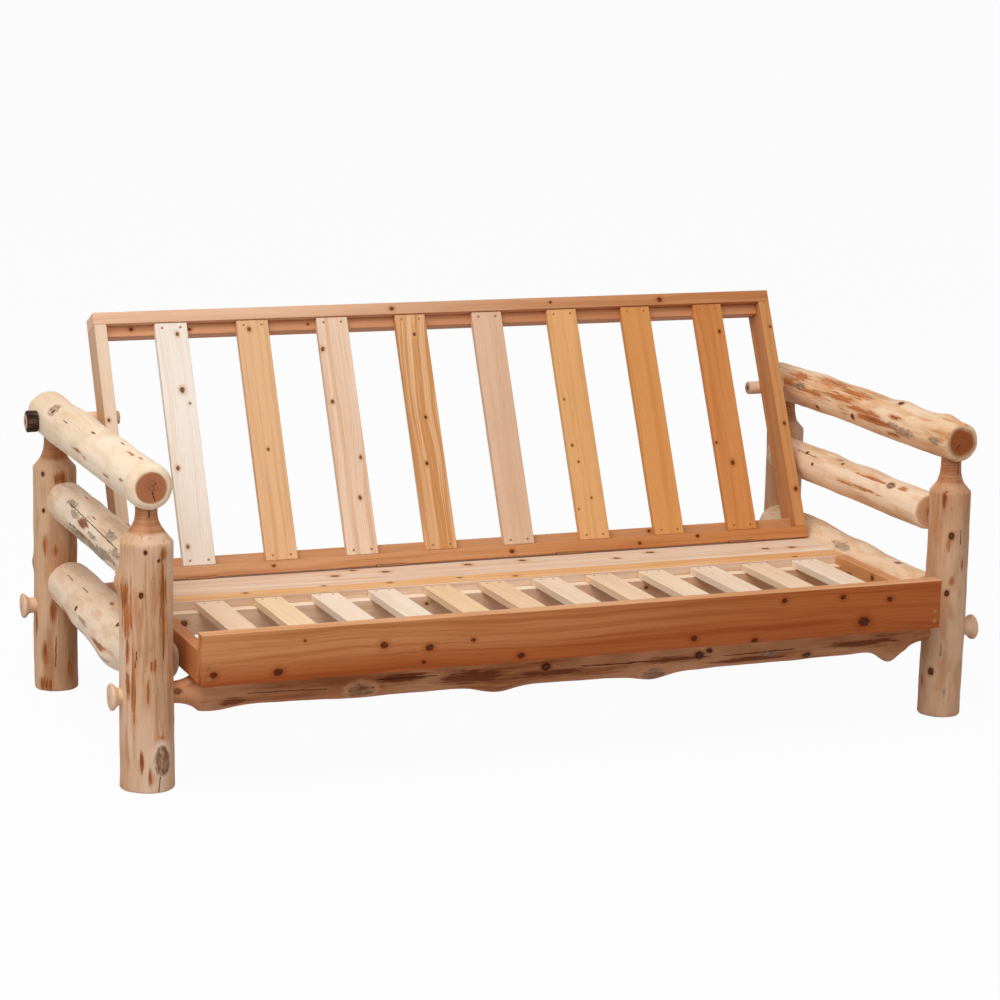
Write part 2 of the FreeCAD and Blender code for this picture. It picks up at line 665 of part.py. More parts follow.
def build_base(nodes):
    raw_posts = {}
    post_cuts = {}
    for side in SIDES:
        for end in ("front", "rear"):
            post = raw_post(post_diameter(end, side))
            post.translate(V(SIDES[side] * POST_X, post_y(end), 0))
            raw_posts[(end, side)] = post
            post_cuts[(end, side)] = []

    middle_dia = {"left": LEFT_MIDDLE_LOG_DIA, "right": RIGHT_MIDDLE_LOG_DIA}
    middle_inset = {"left": LEFT_MIDDLE_LOG_INSET, "right": RIGHT_MIDDLE_LOG_INSET}
    middle_height = {"left": LEFT_MIDDLE_LOG_HEIGHT, "right": RIGHT_MIDDLE_LOG_HEIGHT}
    lower_front = {"left": LEFT_LOWER_LOG_FRONT_DIA, "right": RIGHT_LOWER_LOG_FRONT_DIA}
    lower_rear = {"left": LEFT_LOWER_LOG_REAR_DIA, "right": RIGHT_LOWER_LOG_REAR_DIA}
    lower_inset = {"left": LEFT_LOWER_LOG_INSET, "right": RIGHT_LOWER_LOG_INSET}
    lower_height = {"left": LEFT_LOWER_LOG_HEIGHT, "right": RIGHT_LOWER_LOG_HEIGHT}
    for side in SIDES:
        nodes[side + "_arm_log"] = arm_log(side, raw_posts)
        middle, middle_tenons = side_log(side, middle_inset[side], middle_height[side], middle_dia[side],
                                         middle_dia[side] - LOG_TAPER, raw_posts)
        lower, lower_tenons = side_log(side, lower_inset[side], lower_height[side], lower_front[side],
                                       lower_rear[side], raw_posts)
        nodes[side + "_middle_log"] = middle
        nodes[side + "_lower_log"] = lower.cut([seat_space()] + lag_screws(side))
        post_cuts[("front", side)] += [middle_tenons[0], lower_tenons[0]]
        post_cuts[("rear", side)] += [middle_tenons[1], lower_tenons[1]]

    knobs = []
    bolts = []
    for end in ("front", "rear"):
        rail = stretcher(end).cut([seat_side_rail(side) for side in SIDES])
        for side in SIDES:
            bolt = stretcher_bolt(side, end)
            cap = knob(side, end)
            post_cuts[(end, side)] += [rail, cap, bolt]
            rail = rail.cut(bolt)
            knobs.append(cap.cut(bolt))
            bolts.append(bolt)
        nodes[end + "_stretcher_log"] = rail
    nodes["stretcher_knobs"] = Part.makeCompound(knobs)
    nodes["stretcher_bolts"] = Part.makeCompound(bolts)
    for (end, side), post in raw_posts.items():
        nodes[end + "_" + side + "_post"] = post.cut(post_cuts[(end, side)])


def build_seat(nodes):
    frame_screws = seat_frame_screws()
    lags = {side: lag_screws(side) for side in SIDES}
    nodes["seat_front_board"] = front_board().cut(frame_screws)
    for side in SIDES:
        nodes["seat_" + side + "_rail"] = seat_side_rail(side).cut(frame_screws + lags[side])
    rear_rail = seat_cross_piece(SEAT_REAR_Y - SEAT_RAIL_THICKNESS, SEAT_RAIL_THICKNESS, SEAT_BOTTOM)
    nodes["seat_rear_rail"] = rear_rail.cut(frame_screws)

    nails = []
    inside = SEAT_WIDTH / 2 - SEAT_RAIL_THICKNESS - SEAT_SLAT_WIDTH / 2
    slat_row = spread_row(SEAT_SLAT_COUNT, SEAT_SLAT_LEFT_GAP - inside, inside - SEAT_SLAT_RIGHT_GAP)
    for index, x in enumerate(slat_row):
        slat_nails = seat_nails(x)
        nodes["seat_slat_%02d" % (index + 1)] = seat_slat(x).cut(slat_nails)
        nails += slat_nails
    front_ledger_low = LEDGER_TOP - FRONT_LEDGER_HEIGHT
    rear_ledger_y = DECK_FRONT_Y + REAR_LEDGER_UNDER_DECK - REAR_LEDGER_THICKNESS
    front_ledger = seat_cross_piece(SEAT_INSIDE_Y, FRONT_LEDGER_THICKNESS, front_ledger_low)
    rear_ledger = seat_cross_piece(rear_ledger_y, REAR_LEDGER_THICKNESS, SEAT_BOTTOM)
    nodes["seat_front_ledger"] = front_ledger.cut(nails)
    nodes["seat_rear_ledger"] = rear_ledger.cut(nails)
    nodes["seat_slat_nails"] = Part.makeCompound(nails)
    nodes["seat_frame_screws"] = Part.makeCompound(frame_screws)
    nodes["seat_lag_screws"] = Part.makeCompound(lags["left"] + lags["right"])


def build_hinges(nodes):
    deck = deck_board()
    bottom_rail = back_rail(BACK_BOTTOM_Z)
    deck_leaves = []
    back_leaves = []
    pins = []
    deck_screws = []
    back_screws = []
    step = knuckle_length() + HINGE_KNUCKLE_GAP
    last_hinge = SEAT_WIDTH / 2 - HINGE_END_DISTANCE
    for x in spread_row(HINGE_COUNT, -last_hinge, last_hinge):
        pin_start = V(x - HINGE_LENGTH / 2, 0, 0)
        pin_radius = HINGE_PIN_DIA / 2
        deck_set = deck_leaf_screws(x)
        back_set = back_leaf_screws(x)
        deck_plate = deck_leaf_plate(x)
        back_plate = back_leaf_plate(x)
        deck_leaf = hinge_leaf(x, deck_plate, (0, 2 * step), pin_radius, deck_set)
        back_leaf = hinge_leaf(x, back_plate, (step,), pin_radius + HINGE_PIN_CLEARANCE, back_set)
        deck_cuts = [at_hinge(cut.copy()) for cut in [hinge_room(x), deck_plate] + deck_set]
        deck = deck.cut(deck_cuts)
        nodes["seat_rear_rail"] = nodes["seat_rear_rail"].cut(deck_cuts)
        bottom_rail = bottom_rail.cut([hinge_room(x), back_plate] + back_set)
        deck_leaves.append(at_hinge(deck_leaf))
        back_leaves.append(lean_back(back_leaf))
        pins.append(at_hinge(cylinder(pin_radius, pin_start, pin_start + V(HINGE_LENGTH, 0, 0))))
        deck_screws += [at_hinge(item) for item in deck_set]
        back_screws += [lean_back(item) for item in back_set]
    nodes["deck_board"] = deck
    nodes["hinge_deck_leaves"] = Part.makeCompound(deck_leaves)
    nodes["hinge_back_leaves"] = Part.makeCompound(back_leaves)
    nodes["hinge_pins"] = Part.makeCompound(pins)
    nodes["hinge_deck_screws"] = Part.makeCompound(deck_screws)
    nodes["hinge_back_screws"] = Part.makeCompound(back_screws)
    return bottom_rail


def build_back(nodes, bottom_rail):
    corner_screws = back_corner_screws()
    flat = {
        "back_top_rail": back_rail(BACK_HEIGHT - BACK_BOARD_THICKNESS).cut(corner_screws),
        "back_bottom_rail": bottom_rail.cut(corner_screws),
        "back_left_stile": back_stile("left").cut(corner_screws),
        "back_right_stile": back_stile("right").cut(corner_screws),
        "back_corner_screws": Part.makeCompound(corner_screws),
    }
    nails = []
    inside = BACK_WIDTH / 2 - BACK_BOARD_THICKNESS - BACK_SLAT_WIDTH / 2
    slat_row = spread_row(BACK_SLAT_COUNT, BACK_SLAT_LEFT_GAP - inside, inside - BACK_SLAT_RIGHT_GAP)
    for index, x in enumerate(slat_row):
        slat_nails = back_nails(x)
        flat["back_slat_%d" % (index + 1)] = back_slat(x).cut(slat_nails)
        nails += slat_nails
    flat["back_top_ledger"] = back_ledger(BACK_OPEN_HIGH - BACK_LEDGER_HEIGHT).cut(nails)
    flat["back_bottom_ledger"] = back_ledger(BACK_OPEN_LOW).cut(nails)
    flat["back_slat_nails"] = Part.makeCompound(nails)
    for name, shape in flat.items():
        nodes[name] = lean_back(shape)


def main():
    nodes = {}
    build_base(nodes)
    build_seat(nodes)
    bottom_rail = build_hinges(nodes)
    build_back(nodes, bottom_rail)
    for side in SIDES:
        nodes[side + "_lock_peg"] = lock_peg(side)
    os.makedirs("parts", exist_ok=True)
    for name, shape in nodes.items():
        shape.exportStep("parts/%s.step" % name)
    print("nodes", len(nodes))
    print("hinge line y z", round(HINGE_Y, 3), round(HINGE_Z, 3), "peg y", round(PEG_Y, 3))


main()
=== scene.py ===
"""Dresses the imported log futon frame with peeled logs, sawn boards, bark-headed pegs and steel."""

import itertools
import math
from collections import namedtuple

import bmesh
import bpy
import numpy as np
from bpy.props import FloatProperty, FloatVectorProperty, PointerProperty
from mathutils import Color, Matrix, Vector


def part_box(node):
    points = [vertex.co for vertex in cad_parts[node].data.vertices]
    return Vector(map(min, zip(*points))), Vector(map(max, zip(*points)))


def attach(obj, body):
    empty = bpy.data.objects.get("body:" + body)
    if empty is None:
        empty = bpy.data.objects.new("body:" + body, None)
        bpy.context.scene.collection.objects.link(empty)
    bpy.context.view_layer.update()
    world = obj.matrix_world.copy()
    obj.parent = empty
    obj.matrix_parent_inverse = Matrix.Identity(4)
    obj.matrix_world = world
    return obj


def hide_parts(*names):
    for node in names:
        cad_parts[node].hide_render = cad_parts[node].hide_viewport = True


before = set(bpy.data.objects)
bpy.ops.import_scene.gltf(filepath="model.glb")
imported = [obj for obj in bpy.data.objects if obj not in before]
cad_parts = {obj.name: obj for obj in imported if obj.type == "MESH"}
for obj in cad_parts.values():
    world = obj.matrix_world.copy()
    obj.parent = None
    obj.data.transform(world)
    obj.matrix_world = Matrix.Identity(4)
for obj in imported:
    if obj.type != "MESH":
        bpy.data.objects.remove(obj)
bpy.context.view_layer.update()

bl_info = {
    "name": "Log Futon Frame",
    "version": (1, 0, 0),
    "blender": (4, 5, 0),
    "location": "View3D > Sidebar > Log Frame",
    "description": "Dresses the packed log futon frame with peeled logs, sawn boards and steel",
    "category": "Object",
}

MM = 0.001
UP = Vector((0.0, 0.0, 1.0))
RIGHT = Vector((1.0, 0.0, 0.0))
REAR = Vector((0.0, 1.0, 0.0))
FRONT = -REAR
LEFT = -RIGHT
SCREEN_WHITE = 255
WHITE = (1.0, 1.0, 1.0, 1.0)

# Marks on a log, in millimetres along it and degrees round it

KNOT_LENGTH_SHARE = 1.3
SCAR_LENGTH_SHARE = 1.9

Mark = namedtuple("Mark", "kind along turn length width rise")
Crack = namedtuple("Crack", "start start_turn end end_turn")
Split = namedtuple("Split", "turn inner outer")


def streak(along, turn, length, width):
    """Orange-brown inner bark left on the wood; length and width are half sizes."""
    return Mark("streak", along, turn, length, width, 0)


def bark(along, turn, length, width):
    """A grey patch of outer bark."""
    return Mark("bark", along, turn, length, width, 0)


def knot(along, turn, radius, rise=0.0):
    """A knot, sometimes standing proud of the log."""
    return Mark("knot", along, turn, radius * KNOT_LENGTH_SHARE, radius, rise)


def scar(along, turn, radius, rise):
    """The stub of a cut limb: a dark ring round grey wood, in a raised collar."""
    return Mark("scar", along, turn, radius * SCAR_LENGTH_SHARE, radius, rise)


def bump(along, turn, rise, length, width):
    """A swelling of the log."""
    return Mark("bump", along, turn, length, width, rise)


def tone(red, green, blue):
    """A screen colour from 0 to 255 as a linear colour."""
    screen = Color((red / SCREEN_WHITE, green / SCREEN_WHITE, blue / SCREEN_WHITE))
    return (*screen.from_srgb_to_scene_linear(), 1.0)


# A log's colours, its lumps as a share of its radius, its wander in millimetres, and its marks

LogTones = namedtuple("LogTones", "pale tan peach band heart bands flecks depth rough")
LogShape = namedtuple("LogShape", "lump wander seed")
LogPlan = namedtuple("LogPlan", "tones shape marks cracks")


def log_tones(*colours, **shares):
    """Screen colours of a log's wood and cut end, and how banded, flecked, deep in colour and rough."""
    return LogTones(*(tone(*colour) for colour in colours), **shares)


# Posts

POST_SHOULDER = 584 * MM
POST_SLOPE_WIDTH = 18 * MM
POST_SLOPE_HEIGHT = 20 * MM
POST_NECK_HEIGHT = 47 * MM
POST_TOP = 708 * MM
POST_TAPER = 2 * MM
POST_FOOT_EASE = 4 * MM
POST_FOOT_STEPS = 3
POST_EDGE = ((-5 * MM, 0.0), (-1 * MM, 1 * MM), (2 * MM, 4 * MM))
POST_SMOOTHED = 12 * MM
POST_TURNED_FADE = (-3 * MM, 4 * MM)
TENON_RADIUS = 25.5 * MM
NECK_FLARE = 2.3

POSTS = {
    "front_left_post": LogPlan(
        log_tones(
            (224, 188, 160), (206, 162, 126), (212, 170, 134), (186, 124, 76), (176, 112, 72),
            bands=0.85, flecks=0.5, depth=0.3, rough=0.6),
        LogShape(0.050, 3.0, 11),
        [
            streak(455, -66, 50, 17), streak(415, -60, 60, 18), streak(335, -57, 34, 7),
            streak(250, -43, 140, 6), streak(240, -10, 40, 5),
            streak(302, 1, 18, 8), streak(256, -58, 30, 8), streak(440, 26, 120, 10),
            knot(467, -26, 6), knot(567, -17, 5),
            knot(546, 13, 4), streak(560, 22, 16, 8), scar(77, 16, 16, 7), bump(85, 16, 6, 60, 34),
            streak(122, 16, 16, 9), streak(76, -25, 22, 7), streak(40, -8, 22, 6),
            bump(487, -104, 14, 22, 20), streak(468, -100, 13, 11), bump(566, 40, 5, 18, 16),
            knot(656, -1, 4),
            streak(350, 120, 90, 9), knot(200, 150, 12, 3), streak(480, 175, 70, 12),
            knot(420, 95, 9, 3),
            bark(120, 200, 60, 14), streak(180, 230, 110, 7),
        ],
        [Crack(296, -38, 340, -36), Crack(0, 9, 44, 11), Crack(636, -2, 676, 2), Crack(100, 140, 330, 146)],
    ),
    "front_right_post": LogPlan(
        log_tones(
            (218, 176, 142), (202, 154, 118), (196, 142, 102), (172, 112, 72), (176, 112, 72),
            bands=0.4, flecks=0.25, depth=0.35, rough=0.6),
        LogShape(0.045, 4.0, 23),
        [
            streak(566, -45, 26, 7), knot(475, -22, 8, 3), streak(452, -28, 20, 6),
            streak(399, 17, 20, 5),
            streak(358, -14, 12, 7), knot(326, -26, 7), bark(178, -34, 26, 4), knot(119, -58, 8, 2),
            streak(90, -89, 20, 7), bark(65, -18, 26, 4), knot(648, 5, 6), streak(230, 60, 90, 8),
            knot(300, 110, 11, 4), streak(450, 150, 80, 10), bark(220, 190, 70, 16),
            knot(510, 215, 9, 3),
            streak(130, 240, 100, 8),
        ],
        [Crack(450, 6, 490, 7), Crack(625, 14, 680, 16), Crack(120, 175, 420, 182)],
    ),
    "rear_left_post": LogPlan(
        log_tones(
            (214, 174, 140), (194, 148, 110), (198, 150, 112), (170, 108, 64), (176, 112, 72),
            bands=0.75, flecks=0.45, depth=0.35, rough=0.6),
        LogShape(0.050, 4.0, 37),
        [
            streak(560, 2, 20, 15), knot(570, -46, 5), knot(475, -45, 5), streak(386, -41, 26, 8),
            streak(372, -13, 16, 8), streak(176, -74, 32, 8), streak(209, -20, 30, 9),
            streak(97, -44, 32, 10),
            streak(55, 25, 32, 11), streak(18, -44, 20, 18), knot(330, -110, 11, 4),
            streak(450, -150, 90, 9),
            bark(250, 170, 60, 15), knot(140, 130, 9, 3), streak(330, 85, 70, 8),
        ],
        [Crack(60, -14, 150, -13), Crack(200, 160, 470, 166)],
    ),
    "rear_right_post": LogPlan(
        log_tones(
            (224, 178, 144), (208, 154, 116), (206, 150, 112), (182, 116, 72), (176, 112, 72),
            bands=0.5, flecks=0.4, depth=0.35, rough=0.6),
        LogShape(0.050, 4.0, 41),
        [
            streak(480, -30, 60, 9), knot(390, 40, 9, 3), streak(300, 100, 90, 8),
            bark(200, 160, 60, 15),
            knot(520, 190, 8, 2), streak(130, -70, 70, 8), knot(110, 80, 10, 4),
            streak(420, -140, 80, 10),
        ],
        [Crack(150, 120, 430, 126), Crack(60, -160, 260, -157)],
    ),
}

# Arms, from their front ends

ARM_FRONT_RIMS = {"left_arm_log": 18 * MM, "right_arm_log": 11 * MM}
ARM_REAR_RIM = 9 * MM
ARM_REAR_SWELL = {"left_arm_log": 2 * MM, "right_arm_log": -1 * MM}

ARMS = {
    "left_arm_log": LogPlan(
        log_tones(
            (246, 222, 196), (238, 210, 178), (233, 201, 166), (222, 180, 134), (178, 112, 76),
            bands=0.3, flecks=0.1, depth=0.3, rough=0.35),
        LogShape(0.034, 4.0, 53),
        [
            bark(812, -35, 45, 20), knot(800, -40, 7, 1), streak(446, -23, 16, 3),
            streak(265, 4, 16, 3),
            streak(150, -6, 34, 4), streak(128, -8, 22, 4), streak(80, -2, 20, 3),
            streak(473, -86, 40, 5),
            streak(413, -94, 30, 5), streak(190, -95, 40, 5), streak(64, -80, 22, 4),
            bump(700, 30, 4, 90, 30), bump(330, 20, 3, 80, 30), knot(560, 70, 9, 2),
            streak(300, 110, 60, 7),
            knot(760, 150, 10, 3), streak(620, 190, 90, 8), bark(240, 170, 50, 14),
        ],
        [
            Crack(640, -44, 690, -44), Crack(425, -23, 468, -23), Crack(245, 4, 286, 4),
            Crack(200, 140, 520, 146),
        ],
    ),
    "right_arm_log": LogPlan(
        log_tones(
            (242, 210, 176), (230, 186, 144), (224, 170, 122), (202, 138, 84), (158, 84, 40),
            bands=1.0, flecks=0.7, depth=0.22, rough=0.7),
        LogShape(0.062, 5.0, 67),
        [
            streak(824, -39, 60, 12), streak(855, -66, 60, 14), bark(803, -70, 46, 12),
            streak(710, -78, 90, 9),
            streak(564, -64, 90, 11), streak(505, -33, 90, 13), streak(420, -80, 110, 10),
            streak(370, -95, 110, 10),
            streak(263, -64, 40, 6), bark(262, -88, 40, 9), bark(205, -99, 60, 13),
            streak(268, -121, 40, 8), streak(650, -20, 110, 14),
            bark(51, -92, 30, 12), knot(482, -107, 8, 3), knot(693, -121, 7), knot(292, -12, 8, 3),
            bump(78, -2, 3, 22, 18), bump(96, 19, 7, 30, 24), bump(760, 19, 5, 60, 26),
            bump(524, 19, 3, 60, 26),
            bump(310, 12, 6, 36, 26), streak(600, 60, 90, 8), knot(430, 100, 10, 4),
            streak(250, 150, 80, 9),
            bark(700, 170, 70, 15), knot(880, 60, 9, 3), streak(150, 80, 80, 10),
            streak(400, 70, 100, 9),
            streak(760, 100, 90, 11), bark(330, 110, 50, 10), bump(200, 80, 4, 50, 26),
            bump(640, 100, 5, 60, 28),
        ],
        [Crack(245, -64, 282, -64), Crack(500, 120, 800, 127)],
    ),
}
ARM_SPLITS = {
    "left_arm_log": [Split(48, 2, 20), Split(165, 6, 34)],
    "right_arm_log": [Split(-140, 2, 24)],
}

# Side logs between the posts: middle of the log, radii at its ends, and whether it is planed for the seat

SidePlan = namedtuple("SidePlan", "across height front_radius rear_radius planed tones shape marks cracks")
SIDE_RIM = 8 * MM
SIDE_BITE = 3 * MM
SEAT_HALF_WIDTH = 952.5 * MM

SIDE_LOGS = {
    "left_middle_log": SidePlan(
        -1025, 498, 51.5, 51.5, False,
        log_tones(
            (246, 224, 200), (236, 206, 176), (228, 192, 156), (196, 148, 106), (190, 126, 84),
            bands=0.5, flecks=0.3, depth=0.4, rough=0.7),
        LogShape(0.050, 4.0, 71),
        [
            bark(588, -42, 60, 11), bark(533, -60, 46, 11), streak(438, -64, 40, 13),
            bark(213, -43, 60, 14),
            # The wide bark patches and the streak along the lower left side are bark and also painted shade
            # that darkens the log's lower half.
            bark(201, -93, 110, 16), bark(500, -112, 140, 20), bark(300, -106, 150, 18),
            streak(420, -98, 120, 9), bark(330, -75, 60, 8), bark(110, -70, 60, 12),
            bump(600, -10, 4, 70, 24), knot(300, 40, 9, 3), streak(520, 80, 80, 9),
            bark(260, 130, 90, 14),
        ],
        [
            Crack(651, -45, 72, -58), Crack(380, -33, 425, -33), Crack(560, -3, 590, -3),
            Crack(250, 60, 560, 66),
        ],
    ),
    "right_middle_log": SidePlan(
        1014, 521, 47.5, 47.5, False,
        log_tones(
            (243, 214, 184), (234, 200, 164), (226, 184, 142), (206, 150, 98), (214, 162, 122),
            bands=0.4, flecks=0.2, depth=0.25, rough=0.5),
        LogShape(0.052, 4.0, 83),
        [
            streak(300, -80, 120, 5), streak(258, -36, 85, 5), streak(98, -30, 24, 10),
            scar(148, -37, 9, 9),
            knot(434, -25, 5), knot(624, -37, 5), knot(563, -67, 5), bump(552, 21, 4, 60, 22),
            bump(336, 21, 4, 50, 22), bark(470, -15, 26, 7), streak(420, 90, 110, 8),
            knot(250, 120, 10, 4),
            bark(600, 160, 80, 14),
        ],
        [Crack(560, -40, 680, -41), Crack(150, 110, 480, 116)],
    ),
    "left_lower_log": SidePlan(
        -1015, 280, 65.0, 60.0, True,
        log_tones(
            (242, 216, 190), (234, 202, 172), (226, 188, 152), (206, 158, 114), (190, 126, 84),
            bands=0.4, flecks=0.2, depth=0.35, rough=0.6),
        LogShape(0.054, 4.0, 97),
        [
            streak(342, -10, 18, 6), knot(179, -35, 9, 3), bump(527, -117, 6, 70, 30),
            bump(335, -133, 10, 70, 32),
            bump(225, -130, 15, 60, 30), streak(250, -100, 90, 7), bark(40, -60, 26, 20),
            bark(430, -90, 60, 8),
            knot(500, -75, 7, 2), streak(620, -110, 60, 7),
        ],
        [Crack(640, -34, 712, -34), Crack(498, -30, 560, -29), Crack(150, -120, 500, -116)],
    ),
    "right_lower_log": SidePlan(
        1010, 308, 49.0, 62.0, True,
        log_tones(
            (238, 208, 174), (228, 190, 150), (219, 175, 132), (198, 146, 98), (190, 126, 84),
            bands=0.4, flecks=0.25, depth=0.35, rough=0.6),
        LogShape(0.056, 4.0, 103),
        [
            bark(386, -39, 52, 17), knot(130, -6, 6, 1), streak(130, -6, 14, 8),
            bump(339, 24, 5, 60, 26),
            bump(640, 20, 6, 70, 28), streak(500, 60, 80, 8), knot(300, 100, 9, 3),
            bark(560, 120, 70, 14),
        ],
        [Crack(250, 80, 560, 86)],
    ),
}

# Stretchers, from their left ends

STRETCHER_RADIUS = 45 * MM
STRETCHER_BODY_HALF = 925.5 * MM
STRETCHER_NECK_HALF = 989.5 * MM
STRETCHER_HALF = 1030 * MM
STRETCHER_HEIGHT = 220 * MM
STRETCHER_SMOOTHED = (-20 * MM, 12 * MM)
STRETCHER_TURNED = 0.25
STRETCHER_TURNED_FADE = (-34 * MM, -8 * MM)

STRETCHERS = {
    "front_stretcher_log": LogPlan(
        log_tones(
            (206, 146, 106), (186, 118, 76), (192, 128, 86), (142, 76, 42), (176, 112, 72),
            bands=0.8, flecks=0.6, depth=0.8, rough=0.7),
        LogShape(0.060, 4.0, 113),
        [
            scar(491, 114, 15, 3), bump(491, 114, 5, 50, 28), bark(452, 122, 16, 9),
            bark(520, 118, 14, 8),
            streak(600, 85, 60, 14), streak(772, 100, 85, 18), knot(958, 90, 9, 2),
            bump(852, 164, 10, 42, 26),
            bump(136, 164, 8, 40, 26), streak(181, 127, 34, 14), knot(52, 73, 7), knot(1367, 92, 9, 2),
            bump(1255, 170, 13, 40, 26), scar(1249, 140, 13, 2), streak(1296, 99, 90, 8),
            knot(1667, 125, 9, 2),
            bark(1561, 106, 26, 10), streak(1814, 97, 110, 9), bump(1912, 168, 27, 24, 22),
            bump(826, 170, 6, 40, 25), bump(1100, 175, 8, 220, 40), knot(1395, 80, 6),
            streak(980, 110, 150, 7),
            streak(1500, 120, 100, 8), knot(300, 260, 11, 3), streak(700, 250, 150, 10),
            knot(1200, 240, 12, 4),
            streak(1500, 260, 160, 9), knot(1750, 230, 10, 3),
        ],
        [
            Crack(1040, 96, 1240, 99), Crack(520, 84, 690, 88), Crack(1420, 100, 1640, 96),
            Crack(200, 100, 420, 104),
        ],
    ),
    "rear_stretcher_log": LogPlan(
        log_tones(
            (204, 148, 110), (184, 122, 82), (192, 132, 92), (146, 82, 48), (176, 112, 72),
            bands=0.8, flecks=0.6, depth=0.8, rough=0.7),
        LogShape(0.056, 4.0, 127),
        [
            knot(420, 90, 12, 3), streak(640, 100, 120, 10), knot(900, 70, 10, 3),
            streak(1180, 110, 130, 9),
            knot(1500, 95, 12, 3), streak(1760, 80, 90, 9), knot(620, 260, 12, 4),
            streak(880, 250, 150, 9),
            knot(1320, 240, 11, 3), streak(1600, 265, 140, 9), bump(1050, 200, 8, 50, 25),
        ],
        [Crack(300, 120, 760, 112), Crack(1000, 250, 1500, 262)],
    ),
}

# Knobs and pegs

KNOB_STEM_RADIUS = 20 * MM
KNOB_CAP_RADIUS = 32 * MM
KNOB_CAP_THICKNESS = 22 * MM
KNOB_STEM_LENGTH = 29 * MM
KNOB_UNDERSIDE = (
    (4 * MM, KNOB_STEM_RADIUS + 2 * MM), (11 * MM, KNOB_CAP_RADIUS - 3 * MM),
    (13 * MM, KNOB_CAP_RADIUS - 0.8 * MM),
)
KNOB_DOME = 1.5 * MM
KNOB_RIM = 4 * MM
KNOB_CROWN = (0.4 * MM, KNOB_CAP_RADIUS * 0.5)
KNOB_LUMP = 0.012
KNOB_TURNED = 0.15
KNOB_SEED = 137
KNOB_WOOD_SEED = 131
SIDE_SIGNS = {"left": -1, "right": 1}
KNOB_TONES = log_tones(
    (240, 208, 178), (226, 184, 150), (228, 188, 154), (206, 156, 118), (214, 166, 130),
    bands=0.4, flecks=0.0, depth=0.3, rough=0.3)

PEG_RADIUS = 17.5 * MM
PEG_BORE_RADIUS = 17.8 * MM
PEG_HEAD_RADIUS = 27.0 * MM
PEG_HEAD_LENGTH = 32 * MM
PEG_END_ROUND = 3 * MM
PEG_FACE_RADIUS = 18 * MM
PEG_HEAD_BACK = ((1 * MM, PEG_HEAD_RADIUS - 2 * MM), (4 * MM, PEG_HEAD_RADIUS - 0.5 * MM))
PEG_HEAD_FRONT = (
    (4 * MM, PEG_HEAD_RADIUS), (2.5 * MM, PEG_HEAD_RADIUS - 2 * MM), (0.5 * MM, PEG_FACE_RADIUS + 1 * MM),
    (0.0, PEG_FACE_RADIUS),
)
PEG_LUMPS_START = (-1 * MM, 3 * MM)
PEG_BARK_START = 2 * MM
PEG_SANDED = (0.6 * MM, 0.2 * MM)
PEG_LUMP = 0.05
PEG_SEED = 151
PEG_BARK_SEED = 157
PEG_TONES = log_tones(
    (236, 200, 174), (224, 182, 150), (216, 168, 134), (196, 140, 104), (176, 112, 72),
    bands=0.2, flecks=0.1, depth=0.3, rough=0.35)

# Boards, in millimetres: colour at each end, how strong the grain is, where the pith lies across and deep,
# knots by their place along and across and their radius, the seed, and strips of another colour, some of
# them painted highlights

BoardPlan = namedtuple("BoardPlan", "near far figure pith knots seed strips", defaults=((),))
Strip = namedtuple("Strip", "low high colour wander soft", defaults=(1.0, 2.0))
RECLINE = math.radians(25.4)
SLOPE_UP = Vector((0.0, math.sin(RECLINE), math.cos(RECLINE)))
HINGE_LINE = Vector((0.0, 157.512, 344.0)) * MM

SEAT_BOARDS = {
    "seat_front_board": BoardPlan(
        tone(206, 140, 92), tone(178, 98, 48), 0.75, (120, 160),
        [
            (-926, 291, 7), (-773, 287, 9), (-517, 331, 8), (-404, 317, 8), (-296, 327, 5), (-175, 279, 7),
            (-709, 356, 3), (-419, 283, 4), (275, 287, 7), (438, 269, 7), (516, 364, 6), (677, 362, 6),
            (807, 347, 6), (737, 296, 12),
        ],
        # The lighter strip from 384.5 to 400 mm is a painted highlight along the board's top edge; the
        # darker lower strip is the wood's own colour.
        3, [Strip(240, 312, tone(174, 94, 46), 1.0, 30.0), Strip(384.5, 400, tone(222, 166, 120))],
    ),
    "seat_left_rail": BoardPlan(
        tone(196, 124, 72), tone(184, 112, 62), 0.45, (90, 140), [(-200, 300, 7)], 5),
    "seat_right_rail": BoardPlan(
        tone(214, 152, 96), tone(206, 142, 86), 0.45, (90, 140), [(-261, 327, 7)], 7),
    "seat_front_ledger": BoardPlan(
        tone(196, 138, 98), tone(186, 126, 86), 0.4, (80, 120), [(-880, 305, 6), (-860, 305, 6)], 9),
    "seat_rear_ledger": BoardPlan(
        tone(244, 210, 182), tone(232, 184, 146), 0.35, (90, 120),
        [
            (-890, 296, 7), (-865, 294, 7), (-640, 300, 6), (-430, 296, 4), (-240, 300, 4), (360, 300, 4),
            (620, 296, 4),
        ],
        # The cream strip above 318.2 mm is a painted highlight that makes the ledger's top lighter than its
        # front face.
        13, [Strip(318.2, 340, tone(246, 226, 200))],
    ),
    "seat_rear_rail": BoardPlan(
        tone(206, 156, 118), tone(196, 142, 102), 0.4, (90, 140),
        [(-500, 300, 8), (120, 290, 6), (640, 310, 8)], 15),
    "deck_board": BoardPlan(
        tone(236, 206, 182), tone(238, 210, 186), 0.6, (200, -160),
        [
            (-421, 94, 9), (-358, 140, 7), (-283, 103, 9), (-52, 119, 9), (101, 125, 9), (349, 79, 8),
            (462, 117, 9), (779, 71, 8), (855, 67, 8), (-689, -16, 6), (-482, 1, 5), (-312, -13, 6),
            (-124, -12, 5), (19, -34, 6), (811, -37, 5),
        ],
        # The thin cream strip from 10 to 14 mm is a painted highlight of a board edge; the wider orange
        # strip is the wood's own colour.
        17, [Strip(-57.5, 12, tone(234, 180, 124)), Strip(10, 14, tone(246, 222, 196))],
    ),
}

